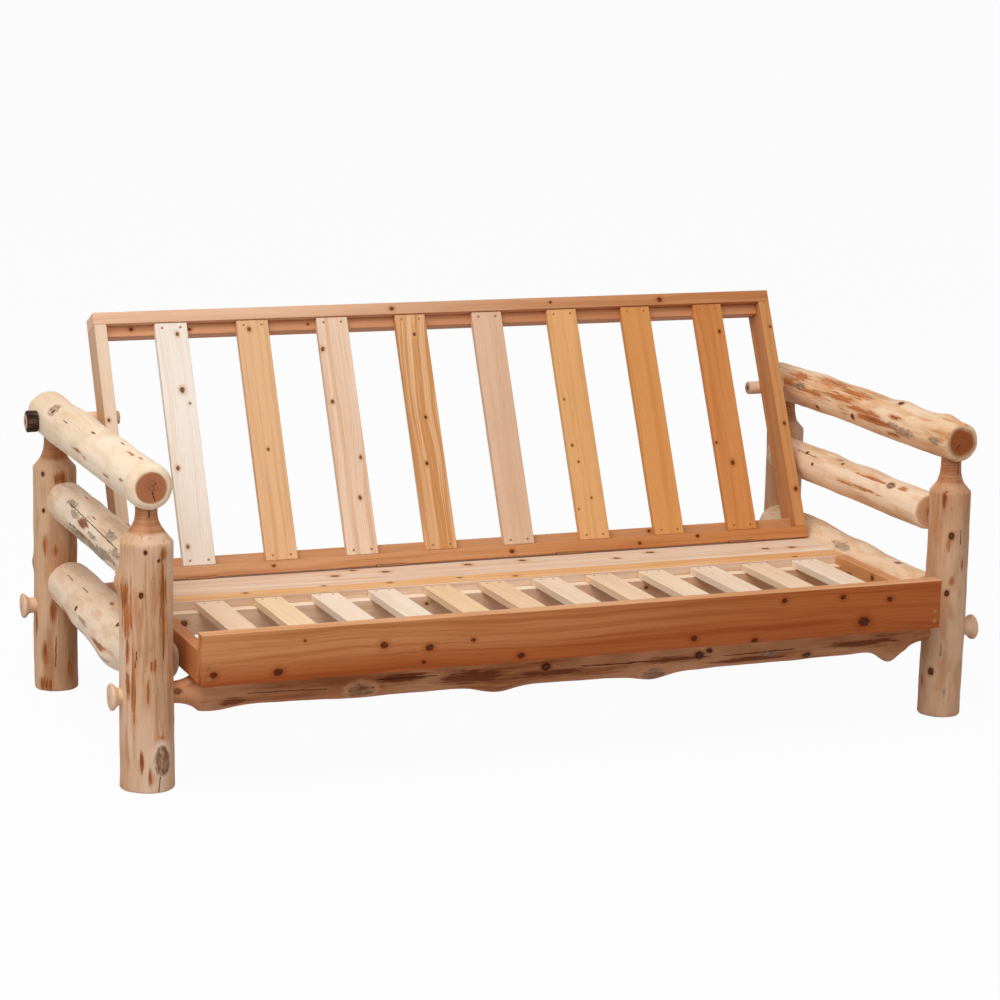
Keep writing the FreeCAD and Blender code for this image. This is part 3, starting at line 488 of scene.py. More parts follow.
SEAT_SLATS = [
    BoardPlan(tone(246, 216, 186), tone(242, 208, 176), 0.3, (120, -160), [], 21),
    BoardPlan(tone(246, 218, 180), tone(244, 212, 170), 0.3, (-130, -170), [], 22),
    BoardPlan(tone(246, 226, 204), tone(244, 220, 196), 0.25, (110, -150), [], 23),
    BoardPlan(tone(246, 228, 208), tone(244, 222, 200), 0.25, (125, -160), [(6, -180, 5)], 24),
    BoardPlan(tone(244, 212, 172), tone(240, 204, 160), 0.35, (-120, -180), [], 25),
    BoardPlan(tone(242, 208, 172), tone(238, 200, 160), 0.3, (135, -160), [], 26),
    BoardPlan(tone(244, 222, 198), tone(242, 214, 186), 0.25, (140, -170), [], 27),
    BoardPlan(tone(244, 214, 182), tone(240, 206, 170), 0.3, (-125, -160), [], 28),
    BoardPlan(tone(246, 222, 194), tone(242, 214, 182), 0.3, (115, -160), [(-8, -170, 4)], 29),
    BoardPlan(tone(246, 226, 204), tone(242, 216, 190), 0.25, (-135, -170), [], 30),
    BoardPlan(tone(244, 218, 188), tone(240, 208, 174), 0.3, (128, -160), [], 31),
    BoardPlan(tone(246, 228, 206), tone(244, 222, 198), 0.25, (-110, -160), [(12, -200, 3)], 32),
]

BACK_SLATS = [
    BoardPlan(
        tone(240, 224, 208), tone(244, 232, 220), 0.25, (-125, 170),
        [(14, 640, 4.5), (9, 492, 6), (25, 456, 2.5), (-27, 288, 4.5), (-25, 84, 4.5)], 41),
    BoardPlan(tone(234, 188, 142), tone(228, 182, 138), 0.5, (60, 60), [(-11, 646, 4.5), (-1, 325, 3)], 42),
    BoardPlan(
        tone(242, 212, 186), tone(238, 206, 180), 0.6, (-50, 60),
        [(-36, 585, 4.5), (-29, 443, 4), (28, 291, 4), (12, 184, 4.5)], 43),
    BoardPlan(
        tone(236, 190, 144), tone(230, 182, 136), 1.6, (4, 25),
        [(6, 616, 4), (5, 390, 4.5), (-9, 265, 4.5)], 44),
    BoardPlan(tone(228, 192, 160), tone(224, 186, 156), 0.25, (130, 180), [], 45),
    BoardPlan(
        tone(234, 180, 120), tone(228, 172, 114), 0.35, (-120, 160),
        [(-30, 420, 2.5), (-27, 293, 3), (-16, 247, 2.5), (6, 147, 2.5), (-35, 118, 2)], 46),
    BoardPlan(tone(226, 162, 96), tone(218, 150, 86), 0.35, (-112, 140), [], 47),
    BoardPlan(
        tone(220, 152, 88), tone(212, 140, 80), 0.55, (115, 150),
        [(25, 591, 4), (-37, 279, 3), (1, 221, 5.5)], 48),
]

BACK_BOARDS = {
    "back_top_rail": BoardPlan(
        tone(234, 192, 162), tone(200, 138, 90), 0.5, (140, 160),
        [(-151, 687, 5), (621, 686, 6), (300, 689, 3)], 51),
    "back_bottom_rail": BoardPlan(
        tone(212, 158, 116), tone(204, 134, 80), 0.8, (-130, 160),
        [(88, 16, 5), (453, 14, 4), (624, 24, 4), (-560, 20, 4)], 53),
    "back_left_stile": BoardPlan(
        tone(226, 194, 164), tone(232, 204, 178), 0.35, (125, 160),
        [(-940, 420, 4)], 55, [Strip(-953, -949.5, tone(208, 162, 124), 0.0)]),
    "back_right_stile": BoardPlan(
        tone(202, 138, 82), tone(198, 132, 78), 0.5, (-125, 160),
        [(936, 322, 4), (938, 137, 5), (941, 598, 3)], 57, [Strip(919.5, 960, tone(208, 148, 94), 0.0)]),
    "back_top_ledger": BoardPlan(
        tone(222, 162, 120), tone(212, 150, 106), 0.5, (120, 150),
        [(-850, 662, 4), (-697, 657, 4), (-379, 660, 3)], 59),
    "back_bottom_ledger": BoardPlan(
        tone(210, 156, 114), tone(204, 146, 100), 0.4, (120, 150), [(495, 51, 4)], 61),
}

FASTENER_NODES = (
    "stretcher_bolts", "seat_slat_nails", "seat_frame_screws", "seat_lag_screws",
    "back_slat_nails", "back_corner_screws", "hinge_deck_screws", "hinge_back_screws",
)
HINGE_NODES = ("hinge_deck_leaves", "hinge_back_leaves", "hinge_pins")


# What a user would change

class LogFrameSizes(bpy.types.PropertyGroup):
    """Sizes of the log surfaces."""

    ring_step: FloatProperty(
        name="Ring step", description="Spacing of a log's rings of points",
        default=5.5 * MM, min=2 * MM, unit="LENGTH")
    round_step: FloatProperty(
        name="Round step", description="Spacing of a log's points round it",
        default=3.6 * MM, min=1.5 * MM, unit="LENGTH")
    lump_scale: FloatProperty(
        name="Lump scale", description="How strong the lumps of the logs are",
        default=1.0, min=0.0, max=2.0)
    ring_pitch: FloatProperty(
        name="Ring pitch", description="Width of a growth ring in the boards",
        default=4.5 * MM, unit="LENGTH")
    board_ease: FloatProperty(
        name="Board ease", description="Width of the eased edges of the rails and boards",
        default=1.5 * MM, min=0.2 * MM, unit="LENGTH")
    slat_ease: FloatProperty(
        name="Slat ease", description="Width of the eased edges of the slats",
        default=3 * MM, min=0.2 * MM, unit="LENGTH")
    board_fade: FloatProperty(
        name="Board fade", description="Half the distance over which a board's colour changes",
        default=0.95, min=0.1, unit="LENGTH")


class LogFrameColours(bpy.types.PropertyGroup):
    """Colours shared by the logs and boards."""

    inner_bark: FloatVectorProperty(
        name="Inner bark", description="Orange-brown streaks of inner bark",
        default=tone(190, 112, 54), size=4, subtype="COLOR")
    inner_bark_dark: FloatVectorProperty(
        name="Dark inner bark", description="Darker parts of the inner bark",
        default=tone(118, 58, 30), size=4, subtype="COLOR")
    outer_bark: FloatVectorProperty(
        name="Outer bark", description="Grey patches of outer bark",
        default=tone(160, 138, 118), size=4, subtype="COLOR")
    outer_bark_dark: FloatVectorProperty(
        name="Dark outer bark", description="Brown parts of the outer bark",
        default=tone(98, 74, 58), size=4, subtype="COLOR")
    knot_heart: FloatVectorProperty(
        name="Knot heart", description="Middle of a knot",
        default=tone(128, 74, 42), size=4, subtype="COLOR")
    knot_ring: FloatVectorProperty(
        name="Knot ring", description="Dark line round a knot",
        default=tone(62, 33, 19), size=4, subtype="COLOR")
    scar: FloatVectorProperty(
        name="Limb stub", description="Grey wood of a cut limb",
        default=tone(160, 126, 98), size=4, subtype="COLOR")
    crack: FloatVectorProperty(
        name="Crack", description="Inside of a drying crack",
        default=tone(58, 34, 22), size=4, subtype="COLOR")
    turned: FloatVectorProperty(
        name="Turned wood", description="Turned necks and shoulders",
        default=tone(200, 142, 102), size=4, subtype="COLOR")
    turned_dark: FloatVectorProperty(
        name="Dark turned wood", description="Darker turning marks",
        default=tone(168, 106, 68), size=4, subtype="COLOR")
    end_heart: FloatVectorProperty(
        name="End heart", description="Heartwood on a log's cut end",
        default=tone(156, 92, 56), size=4, subtype="COLOR")
    end_sap: FloatVectorProperty(
        name="End sapwood", description="Sapwood on a log's cut end",
        default=tone(226, 188, 152), size=4, subtype="COLOR")
    steel: FloatVectorProperty(
        name="Steel", description="Nails, screws and bolts",
        default=tone(162, 112, 76), size=4, subtype="COLOR")
    bronze: FloatVectorProperty(
        name="Bronze", description="Plating of the hinges",
        default=tone(150, 106, 74), size=4, subtype="COLOR")


class LogFrameStage(bpy.types.PropertyGroup):
    """Floor, light and camera."""

    floor: FloatVectorProperty(
        name="Floor", description="Colour of the floor",
        default=(0.6, 0.6, 0.6, 1.0), size=4, subtype="COLOR")
    key_power: FloatProperty(
        name="Key light", description="Power of the large soft light",
        default=410.0, min=0.0, unit="POWER")
    fill: FloatProperty(
        name="Fill light", description="Strength of the light from all round",
        default=0.4, min=0.0)
    lens: FloatProperty(
        name="Lens", description="Focal length in millimetres",
        default=105.86, min=10.0, unit="CAMERA")


# Shader maths

class Strand:
    """Wraps a shader socket; arithmetic on it adds Math nodes to its tree."""

    def __init__(self, tree, socket=None):
        self.tree = tree
        self.socket = socket

    def add_node(self, kind, settings, sockets, output=0):
        """Adds a node: its settings first, then the values or links of its sockets."""
        node = self.tree.nodes.new(kind)
        for key, value in settings.items():
            setattr(node, key, value)
        for key, value in sockets.items():
            if isinstance(value, Strand):
                self.tree.links.new(value.socket, node.inputs[key])
            else:
                node.inputs[key].default_value = value
        return None if output is None else Strand(self.tree, node.outputs[output])

    def maths(self, operation, first, second=0.0):
        return self.add_node("ShaderNodeMath", {"operation": operation}, {0: first, 1: second})

    def __add__(self, other):
        return self.maths("ADD", self, other)

    def __radd__(self, other):
        return self.maths("ADD", other, self)

    def __sub__(self, other):
        return self.maths("SUBTRACT", self, other)

    def __rsub__(self, other):
        return self.maths("SUBTRACT", other, self)

    def __mul__(self, other):
        return self.maths("MULTIPLY", self, other)

    def __rmul__(self, other):
        return self.maths("MULTIPLY", other, self)

    def __truediv__(self, other):
        return self.maths("DIVIDE", self, other)

    def size(self):
        return self.maths("ABSOLUTE", self)

    def root(self):
        return self.maths("SQRT", self)

    def sine(self):
        return self.maths("SINE", self)

    def fraction(self):
        return self.maths("FRACT", self)

    def exponent(self):
        return self.maths("EXPONENT", self)

    def larger(self, other):
        return self.maths("MAXIMUM", self, other)

    def smaller(self, other):
        return self.maths("MINIMUM", self, other)

    def step(self, low, high):
        """Rises smoothly from 0 at low to 1 at high."""
        return self.add_node(
            "ShaderNodeMapRange", {"interpolation_type": "SMOOTHSTEP"},
            {"Value": self, "From Min": low, "From Max": high})


def blend(first, second, factor):
    """A colour between two, where the factor is a strand."""
    return factor.add_node(
        "ShaderNodeMix", {"data_type": "RGBA"}, {0: factor, 6: first, 7: second}, output=2)


def shade(colour, value):
    """A colour made lighter or darker by a strand near 1."""
    return value.add_node("ShaderNodeVectorMath", {"operation": "SCALE"}, {0: colour, "Scale": value})


def tinted(colour, tint):
    """A colour strand multiplied by a fixed colour."""
    settings = {"data_type": "RGBA", "blend_type": "MULTIPLY"}
    return colour.add_node("ShaderNodeMix", settings, {0: 1.0, 6: colour, 7: tint}, output=2)


# Layers of noise: features in a metre along each axis, what is added to the seed, detail and roughness

Noise = namedtuple("Noise", "scale seed detail roughness", defaults=(0.5,))
SEED_SHIFT = (1.7, 2.3, 3.1)


def speckle(point, noise, seed):
    """One layer of noise from 0 to 1."""
    shift = tuple((seed + noise.seed) * way for way in SEED_SHIFT)
    stretched = point.add_node(
        "ShaderNodeVectorMath", {"operation": "MULTIPLY_ADD"}, {0: point, 1: noise.scale, 2: shift})
    return point.add_node(
        "ShaderNodeTexNoise", {},
        {"Vector": stretched, "Scale": 1.0, "Detail": noise.detail, "Roughness": noise.roughness})


def painted(start, name):
    """A number stored on the points of the mesh."""
    return start.add_node("ShaderNodeAttribute", {"attribute_name": name}, {}, output=2)


def new_finish(name):
    """A fresh material and a strand of its object coordinates."""
    material = bpy.data.materials.new(name)
    material.use_nodes = True
    material.node_tree.nodes.clear()
    start = Strand(material.node_tree)
    return material, start.add_node("ShaderNodeTexCoord", {}, {}, output=3)


def close_finish(point, colour, roughness, height, bump_distance, **constants):
    """The surface itself: colour, roughness and relief into one shader."""
    relief = {"Strength": 1.0, "Distance": bump_distance, "Height": height}
    normal = point.add_node("ShaderNodeBump", {}, relief)
    sockets = {"Base Color": colour, "Roughness": roughness, "Normal": normal, **constants}
    surface = point.add_node("ShaderNodeBsdfPrincipled", {}, sockets)
    point.add_node("ShaderNodeOutputMaterial", {}, {"Surface": surface}, output=None)


# Finishes

WOOD_GLOSS = {"Specular IOR Level": 0.12}
LATE_TINT = (0.74, 0.56, 0.38, 1.0)
LOG_RELIEF = 1.2 * MM
BOARD_RELIEF = 0.6 * MM
BARK_RELIEF = 1.5 * MM
METAL_RELIEF = 0.2 * MM

LOG_BROAD = Noise((9, 9, 3), 0, 2)
LOG_PATCHES = Noise((30, 30, 9), 1, 3)
LOG_BANDS = Noise((34, 34, 3.2), 7, 3, 0.6)
LOG_FIBRE = Noise((240, 240, 12), 2, 3, 0.6)
LOG_TORN = Noise((170, 170, 10), 3, 4, 0.65)
LOG_ROUGH_EDGE = Noise((110, 110, 50), 8, 4, 0.6)
LOG_FLECKS = Noise((60, 60, 7), 4, 2)
LOG_CHECKS = Noise((70, 70, 2.2), 5, 1)
LOG_TURNING = Noise((3, 3, 420), 6, 2)
LOG_END_RINGS = 40
CRACK_WOBBLE = 6 * MM
CRACK_HALF_WIDTHS = (0.3 * MM, 1.4 * MM)

BOARD_SWAY = Noise((1.6, 4, 4), 0, 2)
BOARD_WOBBLE = Noise((9, 40, 40), 1, 2)
BOARD_FIBRE = Noise((12, 420, 420), 2, 3, 0.6)
BOARD_PORES = Noise((24, 700, 700), 3, 1)
BOARD_BLOTCH = Noise((3.5, 16, 16), 4, 2)
BOARD_STREAKS = Noise((1.3, 75, 75), 5, 3)
BOARD_BANDS = Noise((0.9, 26, 26), 6, 2)
BOARD_KNOT_CLUMPS = Noise((120, 170, 170), 7, 3)
STREAK_SWAY = 60 * MM
STREAK_BLOTCH = 14 * MM
PITH_SWAY = 40 * MM
RING_SLOPE = 0.006
RING_WOBBLE = 4 * MM
KNOT_SQUEEZE = 0.8
KNOT_WOBBLE = 4 * MM
KNOT_PUSH = 0.7
KNOT_PUSH_FADE = 0.09
STRIP_SLOPE = 0.014
STRIP_SWAY = 50 * MM
STRIP_WOBBLE = 8 * MM
STRIP_EDGE = 0.5 * MM

PEG_RIDGES = Noise((190, 190, 16), 0, 4, 0.65)
PEG_PLATES = Noise((60, 60, 26), 1, 3)
PEG_FIBRE = Noise((240, 240, 20), 2, 3, 0.6)
PEG_END_RINGS = 24
BARK_RIDGE = tone(92, 68, 54)
BARK_GROOVE = tone(36, 26, 22)
PEG_END_SAP = tone(216, 172, 142)

METAL_STAIN = Noise((60, 60, 60), 0, 3)
METAL_SCRATCHES = Noise((1200, 90, 400), 1, 2)
STAIN = tone(96, 62, 40)
FASTENER_SEED = 163
HINGE_SEED = 167


def peeled_log_finish(name, tones, seed, end_radius):
    """Peeled wood: cream and tan with inner bark, outer bark, knots, cracks, turned parts and end grain."""
    colours = bpy.context.scene.log_frame_colours
    material, point = new_finish(name)
    broad = speckle(point, LOG_BROAD, seed)
    patchy = speckle(point, LOG_PATCHES, seed)
    banding = speckle(point, LOG_BANDS, seed)
    fibre = speckle(point, LOG_FIBRE, seed)
    torn = speckle(point, LOG_TORN, seed)
    rough_edge = speckle(point, LOG_ROUGH_EDGE, seed)
    flecking = speckle(point, LOG_FLECKS, seed)
    checking = speckle(point, LOG_CHECKS, seed)
    wood = blend(tones.pale, tones.tan, broad.step(0.38, 0.64))
    wood = blend(wood, tones.peach, patchy.step(0.48, 0.66) * 0.75)
    band = (banding * 0.75 + torn * 0.25).step(0.5, 0.6) * broad.step(0.34, 0.56) * tones.bands
    wood = blend(wood, tones.band, band * 0.8)
    wood = shade(wood, 0.88 + fibre * 0.24)
    mark = painted(point, "streak")
    halo = (mark + (torn - 0.5) * 1.2).step(0.1, 0.5)
    wood = blend(wood, tones.band, halo * mark.step(0.0, 0.2) * 0.5)
    left_bark = (mark + (torn - 0.5) * 2.4 + (rough_edge - 0.5) * 0.8).step(0.5, 0.62)
    left_bark = left_bark * mark.step(0.04, 0.24)
    flecks = (flecking + (torn - 0.5) * 0.25).step(0.62, 0.72) * patchy.step(0.44, 0.6) * tones.flecks
    worn = fibre * 0.4 + torn * 0.6 + mark * (tones.depth * 0.4)
    worn = worn.step(0.62 - tones.depth * 0.25, 0.78 - tones.depth * 0.2)
    inner = blend(tuple(colours.inner_bark), tuple(colours.inner_bark_dark), worn)
    wood = blend(wood, inner, left_bark.larger(flecks) * 0.9)
    smear = painted(point, "bark")
    grey = (smear + (rough_edge - 0.5) * 1.3 + (torn - 0.5) * 0.8).step(0.35, 0.75)
    grey = grey * smear.step(0.04, 0.24)
    outer = blend(tuple(colours.outer_bark), tuple(colours.outer_bark_dark), rough_edge.step(0.46, 0.66))
    wood = blend(wood, outer, grey * 0.75)
    level = painted(point, "knot") + (rough_edge - 0.5) * 0.4
    wood = blend(wood, tones.band, level.step(0.1, 0.5) * 0.7)
    wood = blend(wood, tuple(colours.knot_ring), level.step(0.46, 0.6))
    heart = level.step(0.66, 0.8) * (1 - level.step(0.88, 0.98))
    wood = blend(wood, tuple(colours.knot_heart), heart * 0.55)
    stub = painted(point, "scar") + (rough_edge - 0.5) * 0.36
    wood = blend(wood, tones.pale, stub.step(0.02, 0.3))
    ring = stub.step(0.34, 0.48) * (torn * 0.5 + rough_edge * 0.5).step(0.36, 0.6)
    wood = blend(wood, tuple(colours.knot_ring), ring * 0.75)
    weathered = (rough_edge * 0.6 + torn * 0.4).step(0.42, 0.6)
    limb = blend(tuple(colours.scar), tuple(colours.knot_heart), weathered)
    wood = blend(wood, limb, stub.step(0.48, 0.66) * 0.85)
    check = (1 - (checking - 0.5).size().step(0.001, 0.006)) * broad.step(0.52, 0.6)
    across_crack = painted(point, "crack") + (rough_edge - 0.5) * CRACK_WOBBLE
    split = 1 - across_crack.size().step(*CRACK_HALF_WIDTHS)
    dark_line = (split * painted(point, "reach").step(0.25, 0.7)).larger(check * 0.25)
    turned_part = painted(point, "turned")
    turning = speckle(point, LOG_TURNING, seed)
    lathe_marks = (turning * 0.6 + patchy * 0.4).step(0.4, 0.62)
    lathe = blend(tuple(colours.turned), tuple(colours.turned_dark), lathe_marks)
    wood = blend(wood, lathe, turned_part)
    cut = painted(point, "end")
    radial = painted(point, "radius") / end_radius
    wave = (radial * LOG_END_RINGS + (patchy - 0.5) * 7).sine()
    sawn = blend(tones.heart, tuple(colours.end_sap), (radial + (patchy - 0.5) * 0.3).step(0.56, 0.9))
    sawn = blend(sawn, tuple(colours.end_heart), (1 - radial.step(0.05, 0.4)) * 0.6)
    sawn = shade(sawn, 0.95 + wave * 0.08 + (torn - 0.5) * 0.2)
    wood = blend(wood, sawn, cut)
    wood = blend(wood, tuple(colours.crack), dark_line)
    roughness = 0.46 + tones.rough * 0.2 + grey * 0.2 + cut * 0.15 + (fibre - 0.5) * 0.1
    height = fibre * 0.25 + torn * (0.35 * tones.rough) + grey * 0.5 - left_bark * 0.4 - dark_line * 1.6
    height = height + turning * turned_part * 0.3 - level.step(0.46, 0.6) * 0.6 - stub.step(0.4, 0.48) * 0.8
    close_finish(point, wood, roughness, height, LOG_RELIEF, **WOOD_GLOSS)
    return material


def sawn_board_finish(name, plan, origin, along, across):
    """Sawn softwood: growth rings about a pith, fibre, strips of another colour, some of them painted
    highlights, and knots that push the rings aside.
    """
    sizes = bpy.context.scene.log_frame_sizes
    material, place = new_finish(name)
    point = place.add_node("ShaderNodeVectorMath", {"operation": "SUBTRACT"}, {0: place, 1: tuple(origin)})
    depth = along.cross(across)
    lengthwise, crosswise, through = [
        point.add_node(
            "ShaderNodeVectorMath", {"operation": "DOT_PRODUCT"}, {0: point, 1: tuple(way)}, output=1)
        for way in (along, across, depth)
    ]
    grain = point.add_node("ShaderNodeCombineXYZ", {}, {0: lengthwise, 1: crosswise, 2: through})
    sway = speckle(grain, BOARD_SWAY, plan.seed)
    wobble = speckle(grain, BOARD_WOBBLE, plan.seed)
    fibre = speckle(grain, BOARD_FIBRE, plan.seed)
    pores = speckle(grain, BOARD_PORES, plan.seed)
    blotch = speckle(grain, BOARD_BLOTCH, plan.seed)
    bent = crosswise + (sway - 0.5) * STREAK_SWAY + (blotch - 0.5) * STREAK_BLOTCH
    wandering = point.add_node("ShaderNodeCombineXYZ", {}, {0: lengthwise, 1: bent, 2: through})
    streaks = speckle(wandering, BOARD_STREAKS, plan.seed)
    bands = speckle(wandering, BOARD_BANDS, plan.seed)
    pith_across, pith_deep = plan.pith
    off_across = crosswise - pith_across * MM + (sway - 0.5) * PITH_SWAY
    off_deep = through - pith_deep * MM
    ring = (off_across * off_across + off_deep * off_deep).root()
    ring = ring + lengthwise * RING_SLOPE + (wobble - 0.5) * RING_WOBBLE
    nearest = None
    if plan.knots:
        shaken = crosswise + (wobble - 0.5) * KNOT_WOBBLE
        squeezed = point.add_node("ShaderNodeCombineXYZ", {}, {0: lengthwise * KNOT_SQUEEZE, 1: shaken})
        for knot_along, knot_across, radius in plan.knots:
            middle = (knot_along * MM * KNOT_SQUEEZE, knot_across * MM, 0.0)
            distance = point.add_node(
                "ShaderNodeVectorMath", {"operation": "DISTANCE"}, {0: squeezed, 1: middle}, output=1)
            share = distance / (radius * MM)
            pushed = (share * share * -KNOT_PUSH_FADE).exponent()
            ring = ring + pushed * (radius * MM * KNOT_PUSH)
            nearest = share if nearest is None else nearest.smaller(share)
    saw = (ring / sizes.ring_pitch + (blotch - 0.5) * 2).fraction()
    late = saw.step(0.1, 0.92) * (1 - saw.step(0.92, 1.0))
    wood = blend(plan.near, plan.far, (lengthwise / sizes.board_fade).step(-0.9, 0.9))
    drift = lengthwise * STRIP_SLOPE - (sway - 0.5) * STRIP_SWAY - (wobble - 0.5) * STRIP_WOBBLE
    # Strips of another colour: some are the wood's own colour, some are painted highlights on lit tops and
    # edges.
    for strip in plan.strips:
        soft = strip.soft * MM
        inside = (crosswise - strip.low * MM).step(-STRIP_EDGE, STRIP_EDGE)
        beyond = (crosswise - strip.high * MM - drift * strip.wander).step(-soft, soft)
        wood = blend(wood, strip.colour, inside - beyond)
    dark = tinted(wood, LATE_TINT)
    figured = late * 0.24 + streaks.step(0.43, 0.66) * 0.8 + (bands - 0.5) * 1.2
    wood = blend(wood, dark, figured * plan.figure + (blotch - 0.5) * 0.5)
    wood = shade(wood, 0.91 + fibre * 0.18)
    wood = shade(wood, 1 - pores.step(0.62, 0.74) * 0.12)
    height = fibre * 0.5 + late * 0.3
    if nearest is not None:
        clump = speckle(grain, BOARD_KNOT_CLUMPS, plan.seed)
        edge = nearest + (wobble - 0.5) * 0.5 + (clump - 0.5) * 0.5
        core = shade(tinted(dark, LATE_TINT), clump * 0.9 - 0.05)
        wood = blend(dark, wood, edge.step(1.0, 2.8) * 0.75 + 0.25)
        wood = blend(core, wood, edge.step(0.85, 1.2))
        height = height - (1 - edge.step(0.85, 1.1)) * 0.5
    roughness = 0.5 + (fibre - 0.5) * 0.16 + (blotch - 0.5) * 0.1
    close_finish(point, wood, roughness, height, BOARD_RELIEF, **WOOD_GLOSS)
    return material


def bark_finish(name, seed):
    """Dark ridged bark with a sanded chamfer and end, for the peg heads; the shank is peeled."""
    colours = bpy.context.scene.log_frame_colours
    material, point = new_finish(name)
    ridges = speckle(point, PEG_RIDGES, seed)
    plates = speckle(point, PEG_PLATES, seed)
    fibre = speckle(point, PEG_FIBRE, seed)
    rough_part = painted(point, "bark")
    cut = painted(point, "end")
    radial = painted(point, "radius") / PEG_HEAD_RADIUS
    wood = blend(PEG_TONES.pale, PEG_TONES.tan, plates.step(0.4, 0.62))
    wood = shade(wood, 0.9 + fibre * 0.2)
    dark = blend(BARK_RIDGE, BARK_GROOVE, (ridges * 0.7 + plates * 0.3).step(0.42, 0.56))
    wood = blend(wood, dark, rough_part)
    wave = (radial * PEG_END_RINGS + (plates - 0.5) * 5).sine()
    sapwood = (radial + (plates - 0.5) * 0.3).step(0.22, 0.4)
    sawn = blend(tuple(colours.end_heart), PEG_END_SAP, sapwood)
    sawn = shade(sawn, 0.93 + wave * 0.07)
    wood = blend(wood, sawn, cut)
    pith = 1 - radial.step(0.04, 0.09)
    wood = blend(wood, tuple(colours.crack), pith * cut)
    height = ridges * rough_part * 1.4 + fibre * 0.3
    close_finish(point, wood, 0.55 + rough_part * 0.25, height, BARK_RELIEF, **WOOD_GLOSS)
    return material


def metal_finish(name, colour, seed):
    """Metal with fine scratches and a little staining."""
    material, point = new_finish(name)
    stain = speckle(point, METAL_STAIN, seed)
    scratch = speckle(point, METAL_SCRATCHES, seed)
    metal = shade(colour, 0.8 + stain * 0.4)
    metal = blend(metal, STAIN, stain.step(0.66, 0.8) * 0.6)
    roughness = 0.5 + stain * 0.16 + (scratch - 0.5) * 0.2
    close_finish(point, metal, roughness, scratch, METAL_RELIEF, Metallic=1.0)
    return material


# Log shapes

LATTICE = 24
LATTICE_SHIFT = 7.31
OFF_CRACK = 1.0
CRACK_REACH = 14 * MM
CRACK_LIMIT = 9 * MM
CRACK_MARGIN = 20 * MM
CRACK_TAPER = 0.12
CRACK_OUTER_SHARE = 0.8
SPLIT_TAPERS = (4, 6)
SPLIT_WINDOW = math.pi / 3
SPLIT_DEPTH = 1 * MM
KNOT_FALL = 0.5
SWELL_FALL = 0.6
FEWEST_SIDES = 24
ROUND_STEPS = 5
NECK_STEPS = 10
WANDER_FADE = 180 * MM
WANDER_PITCH = 3.0
WANDER_LANES = (0.5, 5.5)
WANDER_SEED = 9

# Lumps: scale round the log, scale along it and weight

LUMP_LAYERS = ((1.0, 6.0, 0.45), (2.2, 15.0, 0.42), (3.6, 5.0, 0.36), (6.5, 42.0, 0.16))


def soft_noise(points, seed):
    """Smooth noise from -1 to 1 at each point, with one unit for each cell of a seeded lattice."""
    lattice = np.random.default_rng(seed).uniform(-1.0, 1.0, (LATTICE, LATTICE, LATTICE))
    moved = points + LATTICE_SHIFT
    cell = np.floor(moved).astype(int)
    part = moved - cell
    part = part * part * (3.0 - 2.0 * part)
    total = np.zeros(points.shape[:-1])
    for corner in itertools.product((0, 1), repeat=3):
        index = (cell + np.array(corner)) % LATTICE
        weight = np.prod(np.where(np.array(corner) == 1, part, 1.0 - part), axis=-1)
        total += weight * lattice[index[..., 0], index[..., 1], index[..., 2]]
    return total


def smooth_rise(value, low, high):
    """Rises smoothly from 0 at low to 1 at high."""
    share = np.clip((value - low) / (high - low), 0.0, 1.0)
    return share * share * (3.0 - 2.0 * share)


def wrapped(angle):
    """The same angle between half a turn back and half a turn on."""
    return (angle + math.pi) % (2.0 * math.pi) - math.pi


def quarter_round(radius, along, rim, direction, count=ROUND_STEPS):
    """Profile points of a rounded end, from flat to side; direction is 1 at the start, -1 at the end."""
    points = []
    for index in range(count + 1):
        angle = math.pi / 2 * index / count
        inward = rim * (1 - math.cos(angle))
        points.append((along + direction * inward, radius - rim + rim * math.sin(angle)))
    return points


def hollow(start, end, count=NECK_STEPS):
    """Profile points of a hollow neck that flares at its wide start and meets its narrow end in line."""
    points = []
    for index in range(1, count + 1):
        share = index / count
        along = start[0] + (end[0] - start[0]) * share
        radius = end[1] + (start[1] - end[1]) * (1 - share) ** NECK_FLARE
        points.append((along, radius))
    return points


def even_rings(corners, step):
    """Adds rings between the corners of a profile so that none are further apart than the step."""
    rings = [corners[0]]
    for start, end in zip(corners, corners[1:]):
        count = max(1, math.ceil(math.dist(start, end) / step))
        for index in range(1, count + 1):
            share = index / count
            rings.append((start[0] + (end[0] - start[0]) * share, start[1] + (end[1] - start[1]) * share))
    return np.array(rings)


def log_lumps(along, turn, seed):
    """How far a peeled log leaves its round form, as shares of its radius from about -1 to 1."""
    total = np.zeros(along.shape)
    for index, (round_scale, along_scale, weight) in enumerate(LUMP_LAYERS):
        points = np.stack(
            [np.cos(turn) * round_scale, np.sin(turn) * round_scale, along * along_scale], axis=-1)
        total += weight * soft_noise(points, seed + index)
    return total


def log_marks(marks, along, turn, outer):
    """Painted numbers and swelling from a log's marks."""
    painted_on = {kind: np.zeros(along.shape) for kind in ("streak", "bark", "knot", "scar")}
    swell = np.zeros(along.shape)
    for mark in marks:
        across = wrapped(turn - math.radians(mark.turn)) * outer
        reach = ((along - mark.along * MM) / (mark.length * MM)) ** 2 + (across / (mark.width * MM)) ** 2
        if mark.kind in ("knot", "scar"):
            value = np.clip(1.0 - KNOT_FALL * np.sqrt(reach), 0.0, 1.0)
        else:
            value = np.exp(-reach)
        if mark.kind in painted_on:
            painted_on[mark.kind] = np.maximum(painted_on[mark.kind], value)
        if mark.rise:
            swell += mark.rise * MM * np.exp(-reach * SWELL_FALL)
    return painted_on, swell


def nearer_crack(found, across, inside, beside):
    """Keeps, point by point, the nearer of the crack found so far and the next one."""
    offset, reach = found
    take = (np.abs(across) < np.abs(offset)) & beside
    return np.where(take, across, offset), np.where(take, inside * (np.abs(across) < CRACK_REACH), reach)


